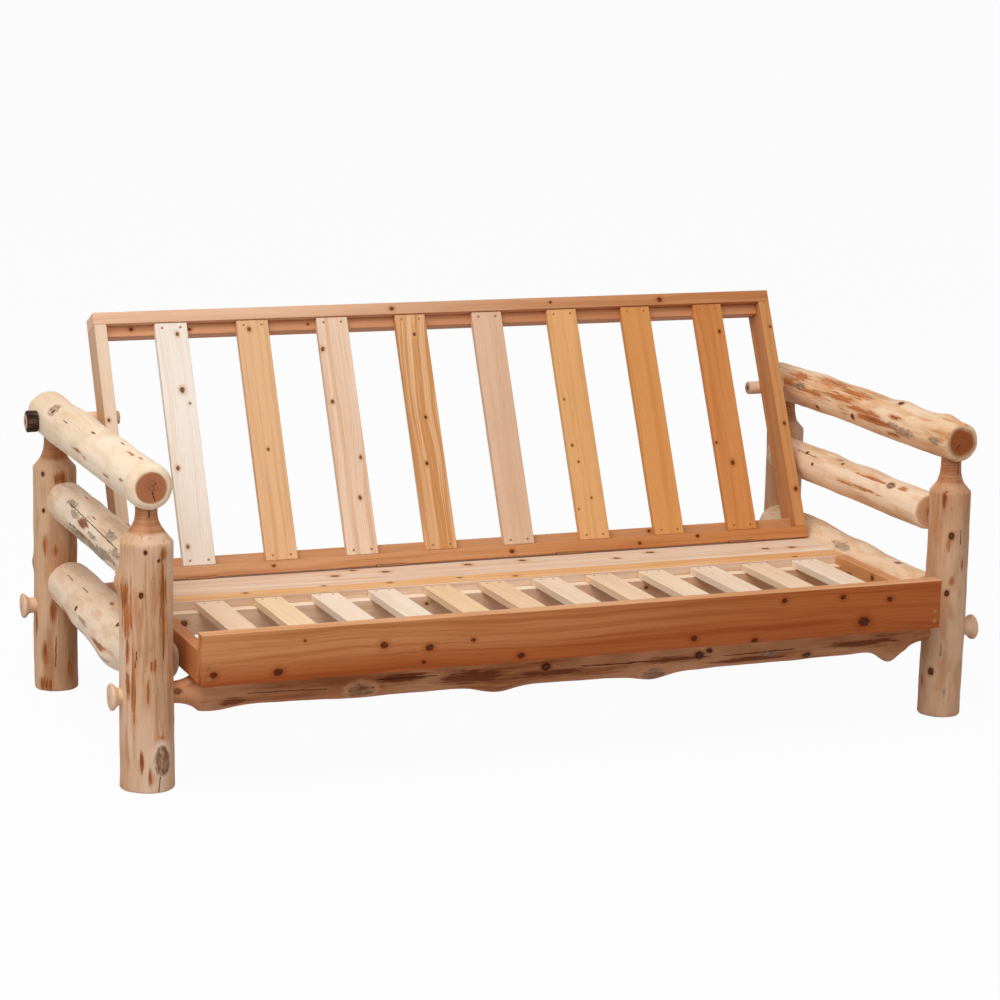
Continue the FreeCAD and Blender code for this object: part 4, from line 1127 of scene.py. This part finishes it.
def log_cracks(cracks, splits, along, turn, outer, ring_radius):
    """Signed distance across the nearest crack and how much it is there."""
    found = np.full(along.shape, OFF_CRACK), np.zeros(along.shape)
    for crack in cracks:
        start = crack.start * MM
        end = crack.end * MM
        share = (along - start) / (end - start)
        middle = np.radians(crack.start_turn + (crack.end_turn - crack.start_turn) * share)
        across = wrapped(turn - middle) * outer
        inside = smooth_rise(share, 0.0, CRACK_TAPER) * (1.0 - smooth_rise(share, 1.0 - CRACK_TAPER, 1.0))
        inside = inside * (ring_radius > CRACK_OUTER_SHARE * outer)
        beside = np.abs(share - 0.5) < 0.5 + CRACK_MARGIN / abs(end - start)
        found = nearer_crack(found, across, inside, beside)
    inner_taper, outer_taper = SPLIT_TAPERS
    for split in splits:
        angle = wrapped(turn - math.radians(split.turn))
        across = ring_radius * np.sin(angle)
        inward = smooth_rise(ring_radius, split.inner * MM, (split.inner + inner_taper) * MM)
        outward = 1.0 - smooth_rise(ring_radius, (split.outer - outer_taper) * MM, split.outer * MM)
        inside = inward * outward * (np.abs(angle) < SPLIT_WINDOW) * (along < SPLIT_DEPTH)
        found = nearer_crack(found, across, inside, inside > 0)
    offset, reach = found
    return np.clip(offset, -CRACK_LIMIT, CRACK_LIMIT), reach


def turned_frame(origin, along, zero):
    """Object matrix whose Z runs along the log and whose X is the direction of turn zero."""
    side = along.cross(zero)
    matrix = Matrix((zero, side, along)).transposed().to_4x4()
    matrix.translation = origin
    return matrix


def carve(name, profile, shape, marks=(), cracks=(), splits=(), raw=None, turned=None, planed=None):
    """A mesh turned from a profile, with lumps, wander, marks and cracks; returns its object."""
    sizes = bpy.context.scene.log_frame_sizes
    rings = even_rings(profile, sizes.ring_step)
    biggest = rings[:, 1].max()
    count = max(FEWEST_SIDES, int(2 * math.pi * biggest / sizes.round_step))
    inner_rings = rings[1:-1]
    along = np.repeat(inner_rings[:, :1], count, axis=1)
    ring_radius = np.repeat(inner_rings[:, 1:], count, axis=1)
    turn = np.broadcast_to(np.linspace(0, 2 * math.pi, count, endpoint=False), along.shape)
    first, last = rings[0, 0], rings[-1, 0]
    at_end = np.isclose(along, first) | np.isclose(along, last)
    side_along = rings[(rings[:, 0] > first) & (rings[:, 0] < last)]
    outer = np.interp(along, side_along[:, 0], side_along[:, 1])
    wildness = np.ones(along.shape) if raw is None else raw(along)
    lumps = log_lumps(along, turn, shape.seed) * shape.lump * sizes.lump_scale
    girth = np.maximum(outer, TENON_RADIUS)
    numbers, swell = log_marks(marks, along, turn, girth)
    numbers["crack"], numbers["reach"] = log_cracks(cracks, splits, along, turn, girth, ring_radius)
    radius = ring_radius * (1.0 + wildness * (lumps + swell / np.maximum(outer, PEG_RADIUS)))
    fade = smooth_rise(along, first, first + WANDER_FADE) * wildness
    fade = fade * (1.0 - smooth_rise(along, last - WANDER_FADE, last))
    drift = []
    for lane in WANDER_LANES:
        path = np.stack([along * WANDER_PITCH, np.zeros(along.shape), np.full(along.shape, lane)], axis=-1)
        drift.append(soft_noise(path, shape.seed + WANDER_SEED) * shape.wander * MM * fade)
    x = radius * np.cos(turn) + drift[0]
    y = radius * np.sin(turn) + drift[1]
    if planed is not None:
        limit, sign = planed
        y = np.minimum(y, limit) if sign > 0 else np.maximum(y, limit)
    points = np.stack([x, y, along], axis=-1).reshape(-1, 3)
    poles = np.array([[0.0, 0.0, first], [0.0, 0.0, last]])
    vertices = np.vstack([points, poles])
    ring_count = len(inner_rings)
    faces = []
    for ring in range(ring_count - 1):
        for step in range(count):
            here = ring * count + step
            there = ring * count + (step + 1) % count
            faces.append((here, there, there + count, here + count))
    low_pole = len(points)
    last_ring = (ring_count - 1) * count
    for step in range(count):
        after = (step + 1) % count
        faces.append((low_pole, after, step))
        faces.append((low_pole + 1, last_ring + step, last_ring + after))
    mesh = bpy.data.meshes.new(name)
    mesh.from_pydata(vertices.tolist(), [], faces)
    numbers["end"] = at_end.astype(float)
    numbers["radius"] = ring_radius
    numbers["turned"] = np.zeros(along.shape) if turned is None else turned(along)
    pole_values = {"end": 1.0, "crack": OFF_CRACK}
    for key, values in numbers.items():
        layer = mesh.attributes.new(key, "FLOAT", "POINT")
        ends = [pole_values.get(key, 0.0)] * 2
        layer.data.foreach_set("value", np.concatenate([values.reshape(-1), ends]).astype(np.float32))
    mesh.shade_smooth()
    mesh.validate()
    return new_piece(name, mesh)


def new_piece(name, mesh):
    """An object of a mesh, linked into the scene."""
    piece = bpy.data.objects.new(name, mesh)
    bpy.context.scene.collection.objects.link(piece)
    return piece


def settle(piece, matrix, material, node, body="base"):
    """Puts a piece in its place, finishes it and lets it stand for its CAD node."""
    piece.matrix_world = matrix
    piece.data.materials.append(material)
    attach(piece, body)
    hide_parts(node)


def post_profile(radius):
    """Foot, log, sloped shoulder, hollow neck and the tenon that goes up into the arm."""
    top = radius - POST_TAPER
    slope_top = (POST_SHOULDER + POST_SLOPE_HEIGHT, top - POST_SLOPE_WIDTH)
    neck_top = (slope_top[0] + POST_NECK_HEIGHT, TENON_RADIUS)
    profile = [(0.0, 0.0)] + quarter_round(radius, 0.0, POST_FOOT_EASE, 1, POST_FOOT_STEPS)
    profile += [(POST_SHOULDER + along, top - inward) for along, inward in POST_EDGE]
    profile += [slope_top] + hollow(slope_top, neck_top)
    profile += [(POST_TOP, TENON_RADIUS), (POST_TOP, 0.0)]
    return profile


def log_profile(length, start_radius, end_radius, start_rim, end_rim):
    """A log with rounded ends."""
    profile = [(0.0, 0.0)] + quarter_round(start_radius, 0.0, start_rim, 1)
    profile += quarter_round(end_radius, length, end_rim, -1)[::-1]
    return profile + [(length, 0.0)]


def box_middle(node):
    """Middle of a CAD node's box."""
    low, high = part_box(node)
    return (low + high) / 2


def box_size(node):
    """Size of a CAD node's box."""
    low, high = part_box(node)
    return high - low


SMOOTH_SHAPE = LogShape(0.0, 0.0, 1)


def bore(piece, start, end, radius):
    """Cuts a round hole through a piece."""
    length = (end - start).length
    profile = [(0.0, 0.0), (0.0, radius), (length, radius), (length, 0.0)]
    cutter = carve("bore_cutter", profile, SMOOTH_SHAPE)
    cutter.matrix_world = turned_frame(start, (end - start).normalized(), UP)
    cut = piece.modifiers.new("bore", "BOOLEAN")
    cut.operation = "DIFFERENCE"
    cut.solver = "EXACT"
    cut.object = cutter
    bpy.context.view_layer.update()
    bored = bpy.data.meshes.new_from_object(piece.evaluated_get(bpy.context.evaluated_depsgraph_get()))
    piece.modifiers.remove(cut)
    piece.data = bored
    bpy.data.objects.remove(cutter)


# Boards and steel

WELD = 0.01 * MM
FLAT_ANGLE = math.radians(1)
CORNER_ANGLE = math.radians(60)
SHORTEST_EASED = 15 * MM
EASE_STEPS = 2
EASE_ROUNDNESS = 0.5


def ease_board(node, width, material, body="base"):
    """A copy of a board with its outer edges eased, which stands for its CAD node."""
    shell = bmesh.new()
    shell.from_mesh(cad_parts[node].data)
    bmesh.ops.remove_doubles(shell, verts=shell.verts, dist=WELD)
    bmesh.ops.dissolve_limit(shell, angle_limit=FLAT_ANGLE, verts=shell.verts, edges=shell.edges)
    corners = [
        edge for edge in shell.edges
        if edge.is_manifold and edge.is_convex and edge.calc_face_angle() > CORNER_ANGLE
        and edge.calc_length() > SHORTEST_EASED
    ]
    bmesh.ops.bevel(
        shell, geom=corners, offset=width, offset_type="OFFSET", segments=EASE_STEPS,
        profile=EASE_ROUNDNESS, affect="EDGES", clamp_overlap=True)
    for face in shell.faces:
        face.smooth = False
    mesh = bpy.data.meshes.new(f"eased_{node}")
    shell.to_mesh(mesh)
    shell.free()
    settle(new_piece(f"eased_{node}", mesh), Matrix.Identity(4), material, node, body)


def stood_up(plan):
    """The plan of an upright board, whose knots are given by their place to the right, then up."""
    return plan._replace(knots=[(up, right, radius) for right, up, radius in plan.knots])


def refinish(node, material):
    """Gives a carried-over CAD node its finish."""
    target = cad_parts[node]
    target.data.materials.clear()
    target.data.materials.append(material)


# Stage

CAMERA_PLACE = Vector((-2.7159, -6.7753, 2.0390))
CAMERA_YAW = math.radians(21.74)
CAMERA_PITCH = math.radians(11.66)
CAMERA_ROLL = math.radians(1.17)
SENSOR = 36.0
FLOOR_HALF = 60.0
FLOOR_GLOW = 0.96
KEY_PLACE = Vector((-2.8, -2.9, 6.1))
KEY_AIM = Vector((0.0, 0.0, 0.45))
KEY_SIZE = 6.0


# Operators

class DressPosts(bpy.types.Operator):
    """Replaces the four posts with peeled logs."""

    bl_idname = "logframe.dress_posts"
    bl_label = "Dress Posts"

    def execute(self, context):
        slope_top = POST_SHOULDER + POST_SLOPE_HEIGHT
        turned_low, turned_high = [slope_top + fade for fade in POST_TURNED_FADE]

        def wild(along):
            return 1.0 - smooth_rise(along, POST_SHOULDER - POST_SMOOTHED, slope_top)

        def turned(along):
            return smooth_rise(along, turned_low, turned_high)

        for node, plan in POSTS.items():
            middle = box_middle(node)
            origin = Vector((middle.x, middle.y, 0.0))
            radius = box_size(node).x / 2
            piece = carve(
                f"dressed_{node}", post_profile(radius), plan.shape, plan.marks, plan.cracks,
                raw=wild, turned=turned)
            material = peeled_log_finish(f"peeled_{node}", plan.tones, plan.shape.seed, radius)
            settle(piece, turned_frame(origin, UP, FRONT), material, node)
        return {"FINISHED"}


class DressArms(bpy.types.Operator):
    """Replaces the two arms with peeled logs, bored for the pegs."""

    bl_idname = "logframe.dress_arms"
    bl_label = "Dress Arms"

    def execute(self, context):
        for node, plan in ARMS.items():
            middle = box_middle(node)
            size = box_size(node)
            radius = size.x / 2
            origin = Vector((middle.x, middle.y - size.y / 2, middle.z))
            rear_radius = radius + ARM_REAR_SWELL[node]
            profile = log_profile(size.y, radius, rear_radius, ARM_FRONT_RIMS[node], ARM_REAR_RIM)
            piece = carve(f"dressed_{node}", profile, plan.shape, plan.marks, plan.cracks, ARM_SPLITS[node])
            matrix = turned_frame(origin, REAR, UP)
            piece.matrix_world = matrix
            peg = box_middle(node.replace("arm_log", "lock_peg"))
            reach = RIGHT * radius * 2
            hole = Vector((middle.x, peg.y, peg.z))
            bore(piece, hole - reach, hole + reach, PEG_BORE_RADIUS)
            material = peeled_log_finish(f"peeled_{node}", plan.tones, plan.shape.seed, radius)
            settle(piece, matrix, material, node)
        return {"FINISHED"}


class DressSideLogs(bpy.types.Operator):
    """Replaces the middle and lower side logs with peeled logs that run into the posts."""

    bl_idname = "logframe.dress_side_logs"
    bl_label = "Dress Side Logs"

    def execute(self, context):
        for node, plan in SIDE_LOGS.items():
            side = node.split("_")[0]
            front = box_middle(f"front_{side}_post")
            rear = box_middle(f"rear_{side}_post")
            front_post_radius = box_size(f"front_{side}_post").x / 2
            rear_post_radius = box_size(f"rear_{side}_post").x / 2
            inset = abs(front.x - plan.across * MM)
            start = front.y + math.sqrt(front_post_radius ** 2 - inset ** 2) - SIDE_BITE
            end = rear.y - math.sqrt(rear_post_radius ** 2 - inset ** 2) + SIDE_BITE
            front_radius = plan.front_radius * MM
            rear_radius = plan.rear_radius * MM
            profile = log_profile(end - start, front_radius, rear_radius, SIDE_RIM, SIDE_RIM)
            planed = None
            if plan.planed:
                sign = math.copysign(1.0, -plan.across)
                planed = (-sign * SEAT_HALF_WIDTH - plan.across * MM, sign)
            piece = carve(f"dressed_{node}", profile, plan.shape, plan.marks, plan.cracks, planed=planed)
            origin = Vector((plan.across * MM, start, plan.height * MM))
            material = peeled_log_finish(f"peeled_{node}", plan.tones, plan.shape.seed, front_radius)
            settle(piece, turned_frame(origin, REAR, UP), material, node)
        return {"FINISHED"}


class DressStretchers(bpy.types.Operator):
    """Replaces the two stretchers with darker peeled logs that have turned necks."""

    bl_idname = "logframe.dress_stretchers"
    bl_label = "Dress Stretchers"

    def execute(self, context):
        length = 2 * STRETCHER_HALF
        tip = STRETCHER_HALF - STRETCHER_NECK_HALF
        neck = STRETCHER_HALF - STRETCHER_BODY_HALF
        smooth_low, smooth_high = [neck + fade for fade in STRETCHER_SMOOTHED]
        turned_low, turned_high = [neck + fade for fade in STRETCHER_TURNED_FADE]

        def from_end(along):
            return np.minimum(along, length - along)

        def wild(along):
            return smooth_rise(from_end(along), smooth_low, smooth_high)

        def turned(along):
            return STRETCHER_TURNED * (1.0 - smooth_rise(from_end(along), turned_low, turned_high))

        rising = hollow((neck, STRETCHER_RADIUS), (tip, TENON_RADIUS))[::-1]
        falling = [(length - along, radius) for along, radius in rising[::-1]]
        profile = [(0.0, 0.0), (0.0, TENON_RADIUS)] + rising + [(neck, STRETCHER_RADIUS)]
        profile += [(length - neck, STRETCHER_RADIUS)] + falling + [(length, TENON_RADIUS), (length, 0.0)]
        for node, plan in STRETCHERS.items():
            origin = Vector((-STRETCHER_HALF, box_middle(node).y, STRETCHER_HEIGHT))
            piece = carve(
                f"dressed_{node}", profile, plan.shape, plan.marks, plan.cracks, raw=wild, turned=turned)
            material = peeled_log_finish(f"peeled_{node}", plan.tones, plan.shape.seed, STRETCHER_RADIUS)
            settle(piece, turned_frame(origin, RIGHT, UP), material, node)
        return {"FINISHED"}


class DressKnobs(bpy.types.Operator):
    """Replaces the four mushroom knobs outside the posts."""

    bl_idname = "logframe.dress_knobs"
    bl_label = "Dress Knobs"

    def execute(self, context):
        low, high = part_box("stretcher_knobs")
        cap_start = KNOB_STEM_LENGTH
        cap_end = KNOB_STEM_LENGTH + KNOB_CAP_THICKNESS
        profile = [(0.0, 0.0), (0.0, KNOB_STEM_RADIUS), (cap_start, KNOB_STEM_RADIUS)]
        profile += [(cap_start + along, radius) for along, radius in KNOB_UNDERSIDE]
        profile += quarter_round(KNOB_CAP_RADIUS, cap_end - KNOB_DOME, KNOB_RIM, -1)[::-1]
        profile += [(cap_end - KNOB_CROWN[0], KNOB_CROWN[1]), (cap_end, 0.0)]
        material = peeled_log_finish("turned_knob_wood", KNOB_TONES, KNOB_WOOD_SEED, KNOB_CAP_RADIUS)

        def turned(along):
            return np.full(along.shape, KNOB_TURNED)

        for index, (side, end) in enumerate(itertools.product(SIDE_SIGNS, ("front", "rear"))):
            sign = SIDE_SIGNS[side]
            tip = high.x if sign > 0 else low.x
            origin = Vector((tip - sign * cap_end, box_middle(f"{end}_{side}_post").y, STRETCHER_HEIGHT))
            shape = LogShape(KNOB_LUMP, 0.0, KNOB_SEED + index)
            piece = carve(f"dressed_knob_{end}_{side}", profile, shape, turned=turned)
            settle(piece, turned_frame(origin, RIGHT * sign, UP), material, "stretcher_knobs")
        return {"FINISHED"}


class DressPegs(bpy.types.Operator):
    """Replaces the lock pegs: peeled shanks with heads left in their bark."""

    bl_idname = "logframe.dress_pegs"
    bl_label = "Dress Pegs"

    def execute(self, context):
        for side, sign in SIDE_SIGNS.items():
            node = f"{side}_lock_peg"
            low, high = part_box(node)
            length = high.x - low.x
            shoulder = length - PEG_HEAD_LENGTH
            lumps_low, lumps_high = [shoulder + start for start in PEG_LUMPS_START]

            def on_head(along):
                return smooth_rise(along, lumps_low, lumps_high)

            profile = [(0.0, 0.0)] + quarter_round(PEG_RADIUS, 0.0, PEG_END_ROUND, 1)
            profile += [(shoulder, PEG_RADIUS)]
            profile += [(shoulder + along, radius) for along, radius in PEG_HEAD_BACK]
            profile += [(length - before, radius) for before, radius in PEG_HEAD_FRONT] + [(length, 0.0)]
            shape = LogShape(PEG_LUMP, 0.0, PEG_SEED + sign)
            piece = carve(f"dressed_{node}", profile, shape, raw=on_head)
            along = np.array([vertex.co.z for vertex in piece.data.vertices])
            from_head = smooth_rise(along, shoulder, shoulder + PEG_BARK_START)
            sanded_low, sanded_high = [length - before for before in PEG_SANDED]
            sanded = smooth_rise(along, sanded_low, sanded_high)
            rough = piece.data.attributes["bark"].data
            rough.foreach_set("value", (from_head * (1.0 - sanded)).astype(np.float32))
            ends = piece.data.attributes["end"].data
            cut = np.zeros(len(along), np.float32)
            ends.foreach_get("value", cut)
            ends.foreach_set("value", np.maximum(cut, sanded).astype(np.float32))
            middle = box_middle(node)
            origin = Vector((low.x if sign > 0 else high.x, middle.y, middle.z))
            matrix = turned_frame(origin, RIGHT * sign, UP)
            material = bark_finish(f"bark_{node}", PEG_BARK_SEED + sign)
            settle(piece, matrix, material, node, f"{side}_peg")
        return {"FINISHED"}


class DressSeatBoards(bpy.types.Operator):
    """Replaces the seat frame's boards with grained ones that have eased edges."""

    bl_idname = "logframe.dress_seat_boards"
    bl_label = "Dress Seat Boards"

    def execute(self, context):
        for node, plan in SEAT_BOARDS.items():
            along = REAR if node.endswith("t_rail") else RIGHT
            across = REAR if node == "deck_board" else UP
            material = sawn_board_finish(f"sawn_{node}", plan, Vector(), along, across)
            ease_board(node, context.scene.log_frame_sizes.board_ease, material)
        return {"FINISHED"}


class DressSeatSlats(bpy.types.Operator):
    """Replaces the seat slats with grained ones that have eased edges, each from its own board."""

    bl_idname = "logframe.dress_seat_slats"
    bl_label = "Dress Seat Slats"

    def execute(self, context):
        for index, plan in enumerate(SEAT_SLATS):
            node = f"seat_slat_{index + 1:02d}"
            material = sawn_board_finish(f"sawn_{node}", plan, box_middle(node), REAR, LEFT)
            ease_board(node, context.scene.log_frame_sizes.slat_ease, material)
        return {"FINISHED"}


class DressBackBoards(bpy.types.Operator):
    """Replaces the back frame's rails, stiles and ledgers with grained ones that have eased edges."""

    bl_idname = "logframe.dress_back_boards"
    bl_label = "Dress Back Boards"

    def execute(self, context):
        for node, plan in BACK_BOARDS.items():
            upright = node.endswith("stile")
            along = SLOPE_UP if upright else RIGHT
            across = RIGHT if upright else SLOPE_UP
            board = stood_up(plan) if upright else plan
            material = sawn_board_finish(f"sawn_{node}", board, HINGE_LINE, along, across)
            ease_board(node, context.scene.log_frame_sizes.board_ease, material, "back")
        return {"FINISHED"}


class DressBackSlats(bpy.types.Operator):
    """Replaces the back slats with grained ones that have eased edges, each from its own board."""

    bl_idname = "logframe.dress_back_slats"
    bl_label = "Dress Back Slats"

    def execute(self, context):
        for index, plan in enumerate(BACK_SLATS):
            node = f"back_slat_{index + 1}"
            origin = Vector((box_middle(node).x, HINGE_LINE.y, HINGE_LINE.z))
            material = sawn_board_finish(f"sawn_{node}", stood_up(plan), origin, SLOPE_UP, RIGHT)
            ease_board(node, context.scene.log_frame_sizes.slat_ease, material, "back")
        return {"FINISHED"}


class FinishSteel(bpy.types.Operator):
    """Gives the hinges, nails, screws and bolts their steel."""

    bl_idname = "logframe.finish_steel"
    bl_label = "Finish Steel"

    def execute(self, context):
        colours = context.scene.log_frame_colours
        fastener = metal_finish("dull_fastener_steel", tuple(colours.steel)[:3], FASTENER_SEED)
        hinge = metal_finish("bronzed_hinge_steel", tuple(colours.bronze)[:3], HINGE_SEED)
        for node in FASTENER_NODES:
            refinish(node, fastener)
        for node in HINGE_NODES:
            refinish(node, hinge)
        return {"FINISHED"}


class BuildStage(bpy.types.Operator):
    """Builds the floor, light and camera."""

    bl_idname = "logframe.build_stage"
    bl_label = "Build Stage"

    def execute(self, context):
        stage = context.scene.log_frame_stage
        self.lay_floor(stage)
        self.set_world(context.scene, stage)
        self.hang_key(context.scene, stage)
        self.place_camera(context.scene, stage)
        context.scene.view_settings.view_transform = "Standard"
        return {"FINISHED"}

    def seen_directly(self, start):
        """1 for rays that show the backdrop itself, 0 for those that light the frame."""
        rays = [
            start.add_node("ShaderNodeLightPath", {}, {}, output=name)
            for name in ("Is Camera Ray", "Is Glossy Ray", "Is Transmission Ray")
        ]
        return rays[0].larger(rays[1]).larger(rays[2])

    def lay_floor(self, stage):
        near, far = -FLOOR_HALF, FLOOR_HALF
        corners = [(near, near, 0), (far, near, 0), (far, far, 0), (near, far, 0)]
        mesh = bpy.data.meshes.new("studio_floor")
        mesh.from_pydata(corners, [], [(0, 1, 2, 3)])
        floor = new_piece("studio_floor", mesh)
        material = bpy.data.materials.new("studio_floor_paint")
        material.use_nodes = True
        material.node_tree.nodes.clear()
        start = Strand(material.node_tree)
        paint = start.add_node("ShaderNodeBsdfDiffuse", {}, {"Color": tuple(stage.floor)})
        glow = start.add_node("ShaderNodeEmission", {}, {"Color": WHITE, "Strength": 1.0})
        seen = self.seen_directly(start) * FLOOR_GLOW
        surface = start.add_node("ShaderNodeMixShader", {}, {0: seen, 1: paint, 2: glow})
        start.add_node("ShaderNodeOutputMaterial", {}, {"Surface": surface}, output=None)
        mesh.materials.append(material)

    def set_world(self, scene, stage):
        world = bpy.data.worlds.new("studio_world")
        world.use_nodes = True
        world.node_tree.nodes.clear()
        start = Strand(world.node_tree)
        fill = start.add_node("ShaderNodeBackground", {}, {"Color": WHITE, "Strength": stage.fill})
        backdrop = start.add_node("ShaderNodeBackground", {}, {"Color": WHITE, "Strength": 1.0})
        sky = start.add_node("ShaderNodeMixShader", {}, {0: self.seen_directly(start), 1: fill, 2: backdrop})
        start.add_node("ShaderNodeOutputWorld", {}, {"Surface": sky}, output=None)
        scene.world = world

    def hang_key(self, scene, stage):
        lamp = bpy.data.lights.new("key_light", "AREA")
        lamp.energy = stage.key_power
        lamp.size = KEY_SIZE
        key = bpy.data.objects.new("key_light", lamp)
        scene.collection.objects.link(key)
        key.location = KEY_PLACE
        key.rotation_euler = (KEY_AIM - KEY_PLACE).to_track_quat("-Z", "Y").to_euler()

    def place_camera(self, scene, stage):
        forward = Vector((
            math.sin(CAMERA_YAW) * math.cos(CAMERA_PITCH), math.cos(CAMERA_YAW) * math.cos(CAMERA_PITCH),
            -math.sin(CAMERA_PITCH)))
        level = Vector((math.cos(CAMERA_YAW), -math.sin(CAMERA_YAW), 0.0))
        upright = level.cross(forward)
        right = level * math.cos(CAMERA_ROLL) + upright * math.sin(CAMERA_ROLL)
        top = upright * math.cos(CAMERA_ROLL) - level * math.sin(CAMERA_ROLL)
        data = bpy.data.cameras.new("photo_camera")
        data.sensor_width = SENSOR
        data.lens = stage.lens
        camera = bpy.data.objects.new("photo_camera", data)
        scene.collection.objects.link(camera)
        matrix = Matrix((right, top, -forward)).transposed().to_4x4()
        matrix.translation = CAMERA_PLACE
        camera.matrix_world = matrix
        scene.camera = camera


OPERATORS = (
    BuildStage, DressPosts, DressArms, DressSideLogs, DressStretchers, DressKnobs, DressPegs,
    DressSeatBoards, DressSeatSlats, DressBackBoards, DressBackSlats, FinishSteel,
)


class LogFramePanel(bpy.types.Panel):
    """Lists the steps that dress the log frame."""

    bl_idname = "VIEW3D_PT_log_frame"
    bl_label = "Log Futon Frame"
    bl_space_type = "VIEW_3D"
    bl_region_type = "UI"
    bl_category = "Log Frame"

    def draw(self, context):
        for step in OPERATORS:
            self.layout.operator(step.bl_idname)
        scene = context.scene
        for group in (scene.log_frame_sizes, scene.log_frame_colours, scene.log_frame_stage):
            for name in group.bl_rna.properties.keys():
                if name not in ("rna_type", "name"):
                    self.layout.prop(group, name)


GROUPS = (LogFrameSizes, LogFrameColours, LogFrameStage)


def register():
    for kind in GROUPS + OPERATORS + (LogFramePanel,):
        bpy.utils.register_class(kind)
    bpy.types.Scene.log_frame_sizes = PointerProperty(type=LogFrameSizes)
    bpy.types.Scene.log_frame_colours = PointerProperty(type=LogFrameColours)
    bpy.types.Scene.log_frame_stage = PointerProperty(type=LogFrameStage)


def unregister():
    del bpy.types.Scene.log_frame_stage
    del bpy.types.Scene.log_frame_colours
    del bpy.types.Scene.log_frame_sizes
    for kind in reversed(GROUPS + OPERATORS + (LogFramePanel,)):
        bpy.utils.unregister_class(kind)


def main():
    register()
    bpy.ops.logframe.build_stage()
    bpy.ops.logframe.dress_posts()
    bpy.ops.logframe.dress_arms()
    bpy.ops.logframe.dress_side_logs()
    bpy.ops.logframe.dress_stretchers()
    bpy.ops.logframe.dress_knobs()
    bpy.ops.logframe.dress_pegs()
    bpy.ops.logframe.dress_seat_boards()
    bpy.ops.logframe.dress_seat_slats()
    bpy.ops.logframe.dress_back_boards()
    bpy.ops.logframe.dress_back_slats()
    bpy.ops.logframe.finish_steel()


if __name__ == "__main__":
    main()
